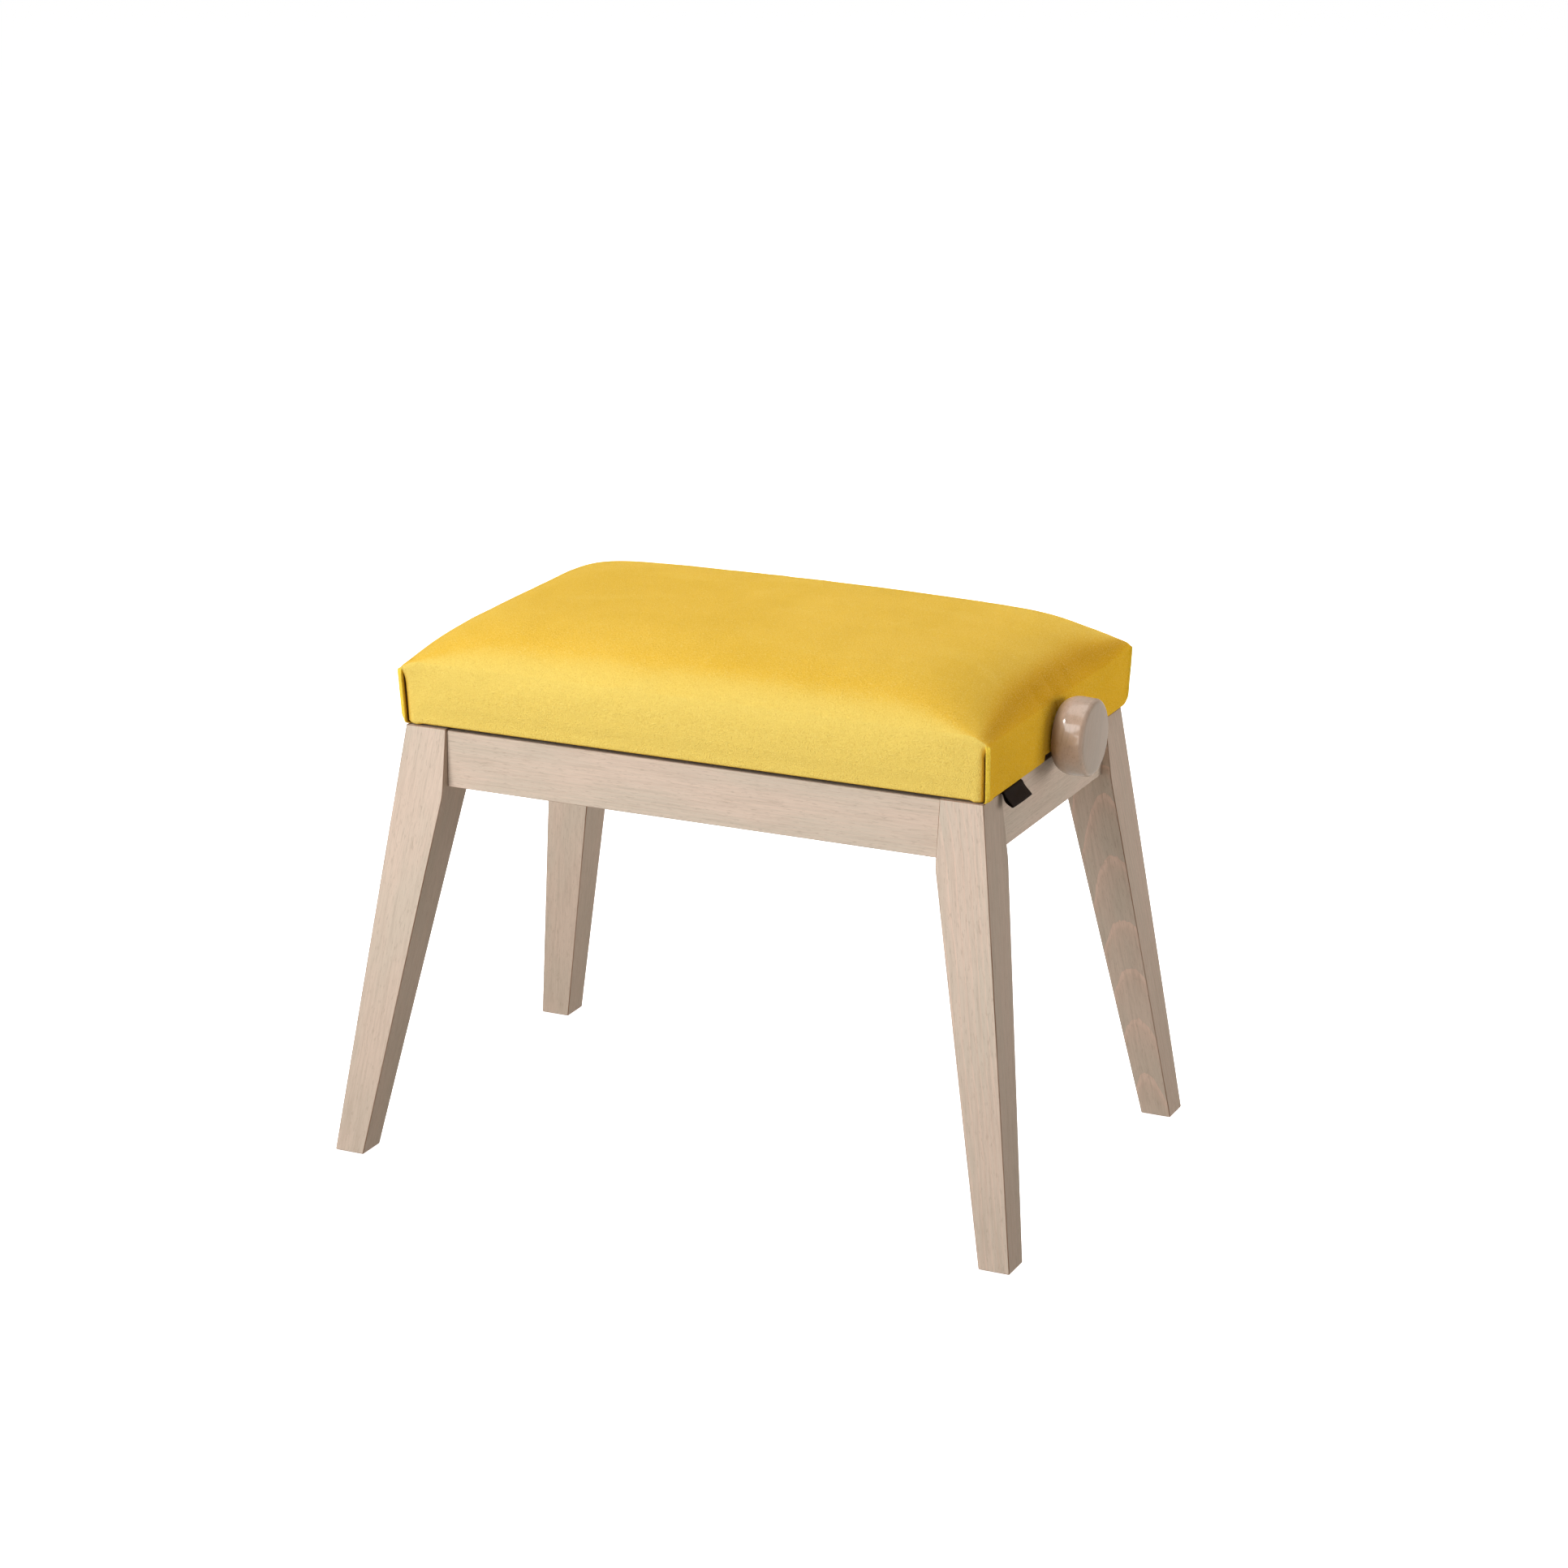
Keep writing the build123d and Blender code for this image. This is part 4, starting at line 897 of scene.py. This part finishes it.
# ------------------------------ tag
def ribbon_tag():
    """The folded ribbon under the hem: one strip that flares out and down, and comes back from its fold."""
    low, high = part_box("label_tag")
    top = high.z - 0.1 * MM
    hem_edge = HALF_X - LEAN_X
    path = [
        (low.x + 1 * MM, top),
        (low.x + 6 * MM, top),
        (hem_edge + 0.2 * MM, top - 0.6 * MM),
        (high.x - 3.6 * MM, top - 5.0 * MM),
        (high.x + 2.4 * MM, low.z + 1.6 * MM),
        (high.x + 2.0 * MM, low.z + 0.6 * MM),
        (high.x + 0.6 * MM, low.z + 0.9 * MM),
        (high.x - 4.6 * MM, low.z + 4.4 * MM),
        (hem_edge - 0.6 * MM, top - 2.2 * MM),
        (low.x + 6 * MM, top - 1.1 * MM),
        (low.x + 1 * MM, top - 1.0 * MM),
    ]
    smooth_path = spline([Vector((x, 0, z)) for x, z in path], 9)
    across = np.linspace(low.y, high.y, 24)
    points = []
    for i, p in enumerate(smooth_path):
        gone = i / len(smooth_path)
        out = float(smoothstep(0.25, 0.5, gone) * (1 - smoothstep(0.55, 0.85, gone)))
        for y in across:
            curl = 0.5 * MM * sin(pi * (y - low.y) / (high.y - low.y)) * out
            points.append((p.x + curl, y, p.z))
    wide = len(across)
    faces = [
        (a, a + 1, a + wide + 1, a + wide)
        for i in range(len(smooth_path) - 1)
        for a in range(i * wide, i * wide + wide - 1)
    ]
    piece = new_object("ribbon_tag", points, faces)
    piece.data.materials.append(MATERIALS["ribbon"])
    thick = piece.modifiers.new("thickness", "SOLIDIFY")
    thick.thickness = 0.45 * MM
    thick.offset = 0
    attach(piece, "seat")
    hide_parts("label_tag")


def spline(points, steps):
    """A smooth line through the points."""
    found = []
    padded = [points[0]] + list(points) + [points[-1]]
    for a, b, c, d in zip(padded, padded[1:], padded[2:], padded[3:]):
        bend = 2 * a - 5 * b + 4 * c - d
        twist = 3 * b - a - 3 * c + d
        for k in range(steps):
            t = k / steps
            found.append(0.5 * (2 * b + (c - a) * t + bend * t * t + twist * t**3))
    return found + [points[-1]]


# ------------------------------ knob and spindle
INSERT_DEEP = 19.6 * MM  # the bore in the knob's back: its depth and radius
BORE = 9.05 * MM
PITCH = 3 * MM  # the spindle's thread
THREAD_DEEP = 1.6 * MM
KNOB_TURNS = 96  # points in a ring of the knob and of the spindle
SPINDLE_TURNS = 36


def turned_knob():
    """The knob: a thick pebble with a long soft back, a small front edge and a slightly crowned face."""
    back, front, radius = knob_low.x, knob_high.x, KNOB_RADIUS
    back_long, back_deep = 15 * MM, 9 * MM
    edge_long, edge_deep = 4.2 * MM, 5.5 * MM
    crowned = 0.9 * MM
    profile = [(back + INSERT_DEEP, 0.0), (back + INSERT_DEEP, BORE), (back, BORE)]
    profile += [(back, radius - back_deep - 7 * MM), (back + 0.2 * MM, radius - back_deep - 3 * MM)]
    for k in range(15):
        a = radians(8 + 82 * k / 14)
        profile.append((back + back_long * (1 - cos(a)), radius - back_deep * (1 - sin(a))))
    for k in range(13):
        a = radians(90 * k / 12)
        x = front - crowned - edge_long * (1 - sin(a))
        profile.append((x, radius - 0.6 * MM - edge_deep * (1 - cos(a))))
    face = profile[-1][1]
    for k in range(1, 9):
        r = face * (1 - k / 8)
        profile.append((front - crowned * (r / face) ** 2, r))
    points = [(profile[0][0], 0, 0)]
    for x, r in profile[1:-1]:
        points += ring_points(x, r, KNOB_TURNS)
    points.append((profile[-1][0], 0, 0))
    points = np.array(points) + (0, 0, KNOB_Z)
    piece = new_object("turned_knob", points, ring_faces(len(profile) - 2, KNOB_TURNS))
    piece.data.materials.append(MATERIALS["knob"])
    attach(piece, "lift_screw")
    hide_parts("knob")


def threaded_spindle():
    """The spindle with its trapezoidal thread, and plain where it runs in its bush and the knob."""
    low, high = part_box("lift_spindle")
    radius = (high.z - low.z) / 2
    thread_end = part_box("thrust_collars")[0].x - 1.5 * MM
    rows = int((thread_end - low.x) / (PITCH / 10))
    round_share = np.arange(SPINDLE_TURNS) / SPINDLE_TURNS
    points = [(low.x, 0, 0)]
    for x in np.linspace(low.x, thread_end, rows + 1):
        phase = ((x - low.x) / PITCH - round_share) % 1
        tooth = smoothstep(0.35, 0.65, abs(phase - 0.5) * 2)
        ease = smoothstep(0, 2 * MM, x - low.x) * (1 - smoothstep(-3 * MM, 0, x - thread_end))
        start_cut = 0.5 * (1 - ease) if x < thread_end - 4 * MM else 0
        points += ring_points(x, radius - THREAD_DEEP * (tooth * ease + start_cut), SPINDLE_TURNS)
    plain = [(thread_end + 0.2 * MM, radius), (high.x - 1 * MM, radius), (high.x, radius - 1 * MM)]
    for x, r in plain:
        points += ring_points(x, r, SPINDLE_TURNS)
    points.append((high.x, 0, 0))
    points = np.array(points) + (0, 0, KNOB_Z)
    piece = new_object("threaded_spindle", points, ring_faces(rows + 1 + len(plain), SPINDLE_TURNS))
    piece.data.materials.append(MATERIALS["steel"])
    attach(piece, "lift_screw")
    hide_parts("lift_spindle")


def metalwork():
    """Gives every metal and plastic piece of the lift its look."""
    black = [f"{place}_rail_{side}" for place in ("lower", "upper") for side in ("front", "back")]
    black += [f"{place}_arm_{side}" for place in ("outer", "inner") for side in ("front", "back")]
    looks = {
        "black": black + ["spindle_bracket"],
        "steel": ["lower_pivot_rod", "upper_pivot_rod", "lower_slide_rod", "nut_bar", "centre_rivets",
                  "thrust_collars"],
        "brass": ["spindle_bush", "knob_insert"],
        "nylon": ["upper_pivot_spacers", "slide_rod_spacers"],
        "zinc": ["corner_block_screws", "lower_rail_screws", "upper_rail_screws", "bracket_screws",
                 "seat_board_screws", "collar_set_screws", "cover_staples"],
    }
    for look, nodes in looks.items():
        for node in nodes:
            paint(node, MATERIALS[look])


# ------------------------------ stage, light and camera
VIEW_AZIMUTH = radians(24.55)
VIEW_ELEVATION = radians(17.09)
VIEW_ROLL = radians(0.39)
VIEW_DISTANCE = 3.76628
VIEW_TARGET = Vector((0.00818, 0.01927, 0.32179))
VIEW_LENS = 97.72


def camera():
    """The photo's camera."""
    data = bpy.data.cameras.new("camera")
    data.sensor_width = 36.0
    data.lens = VIEW_LENS
    data.clip_start, data.clip_end = 0.1, 60
    made = bpy.data.objects.new("camera", data)
    SCENE.collection.objects.link(made)
    level = cos(VIEW_ELEVATION)
    back = Vector((sin(VIEW_AZIMUTH) * level, -cos(VIEW_AZIMUTH) * level, sin(VIEW_ELEVATION)))
    right = back.cross(Vector((0, 0, -1))).normalized()
    up = back.cross(right).normalized()
    tipped_right = right * cos(VIEW_ROLL) + up * sin(VIEW_ROLL)
    tipped_up = up * cos(VIEW_ROLL) - right * sin(VIEW_ROLL)
    turn = Matrix((tipped_right, tipped_up, back)).transposed()
    made.matrix_world = Matrix.Translation(VIEW_TARGET + back * VIEW_DISTANCE) @ turn.to_4x4()
    SCENE.camera = made


def soft_light(name, place, size, power, mirrored=True):
    """A rectangular light at place that faces LIGHT_AIM; mirrored says if glossy surfaces show it."""
    data = bpy.data.lights.new(name, "AREA")
    data.shape = "RECTANGLE"
    data.size, data.size_y = size
    data.energy = power
    made = bpy.data.objects.new(name, data)
    made.location = place
    made.rotation_euler = (Vector(place) - LIGHT_AIM).to_track_quat("Z", "Y").to_euler()
    made.visible_glossy = mirrored
    SCENE.collection.objects.link(made)


LIGHTS = {
    "key": dict(place=(-1.45, -2.8, 2.3), size=(2.0, 2.0), power=73),
    "front": dict(place=(-0.8, -4.1, 0.7), size=(2.2, 1.9), power=74),
    "right": dict(place=(1.9, 1.0, 0.5), size=(1.2, 0.8), power=18.5, mirrored=False),
    "top": dict(place=(0.1, 0.2, 2.8), size=(2.0, 2.0), power=24),
    "window": dict(place=(-1.05, -1.18, 2.2), size=(0.34, 0.34), power=12),
    "back": dict(place=(-0.3, 2.6, 1.6), size=(2.0, 1.6), power=56, mirrored=False),
}
LIGHT_AIM = Vector((0, 0, 0.35))
SKY = 0.02  # the surrounding light's strength from above and from below
GROUND = 0.6
GROUND_TONE = (1.0, 0.93, 0.85, 1)
STAGE_HALF = 40.0
WALL_SIDES = 48


def studio():
    """A floor and a wall that glow evenly, as the photo's blank background does, and the lights."""
    world = bpy.data.worlds.new("studio")
    world.use_nodes = True
    nodes, link = world.node_tree.nodes, world.node_tree.links.new
    place = nodes.new("ShaderNodeTexCoord")
    height = nodes.new("ShaderNodeSeparateXYZ")
    link(place.outputs["Generated"], height.inputs[0])
    level = nodes.new("ShaderNodeMapRange")
    link(height.outputs[2], level.inputs[0])
    for socket, value in zip(level.inputs[1:5], (-0.15, 0.15, GROUND, SKY)):
        socket.default_value = value
    shade = nodes["Background"]
    shade.inputs["Color"].default_value = GROUND_TONE
    link(level.outputs[0], shade.inputs["Strength"])
    SCENE.world = world
    SCENE.view_settings.view_transform = "Standard"
    SCENE.view_settings.look = "None"
    half = STAGE_HALF
    corners = [(-half, -half, 0), (half, -half, 0), (half, half, 0), (-half, half, 0)]
    floor = new_object("floor", corners, [(0, 1, 2, 3)], smooth=False)
    pale = Surface("pale_floor", roughness=0.9)
    cloud = pale.noise(pale.place(), 3)
    pale.set(Base_Color=pale.mix(cloud, (0.8, 0.8, 0.8, 1), (0.82, 0.82, 0.82, 1)), Specular_IOR_Level=0.1)
    pale.set(Emission_Color=(1, 1, 1, 1), Emission_Strength=0.97)
    floor.data.materials.append(pale.material)
    around = []
    panels = []
    for k in range(WALL_SIDES):
        angle = tau * k / WALL_SIDES
        around += [(half * cos(angle), half * sin(angle), z) for z in (-1.0, half)]
        after = 2 * ((k + 1) % WALL_SIDES)
        panels.append((2 * k, after, after + 1, 2 * k + 1))
    wall = new_object("backdrop", around, panels)
    wall.data.materials.append(pale.material)
    wall.visible_shadow = False
    for stage in (floor, wall):
        stage.visible_diffuse = False
        stage.visible_glossy = False
    for name, light in LIGHTS.items():
        soft_light(name, **light)


def main():
    wooden_frame()
    metalwork()
    seat_cover()
    ribbon_tag()
    turned_knob()
    threaded_spindle()
    studio()
    camera()


main()
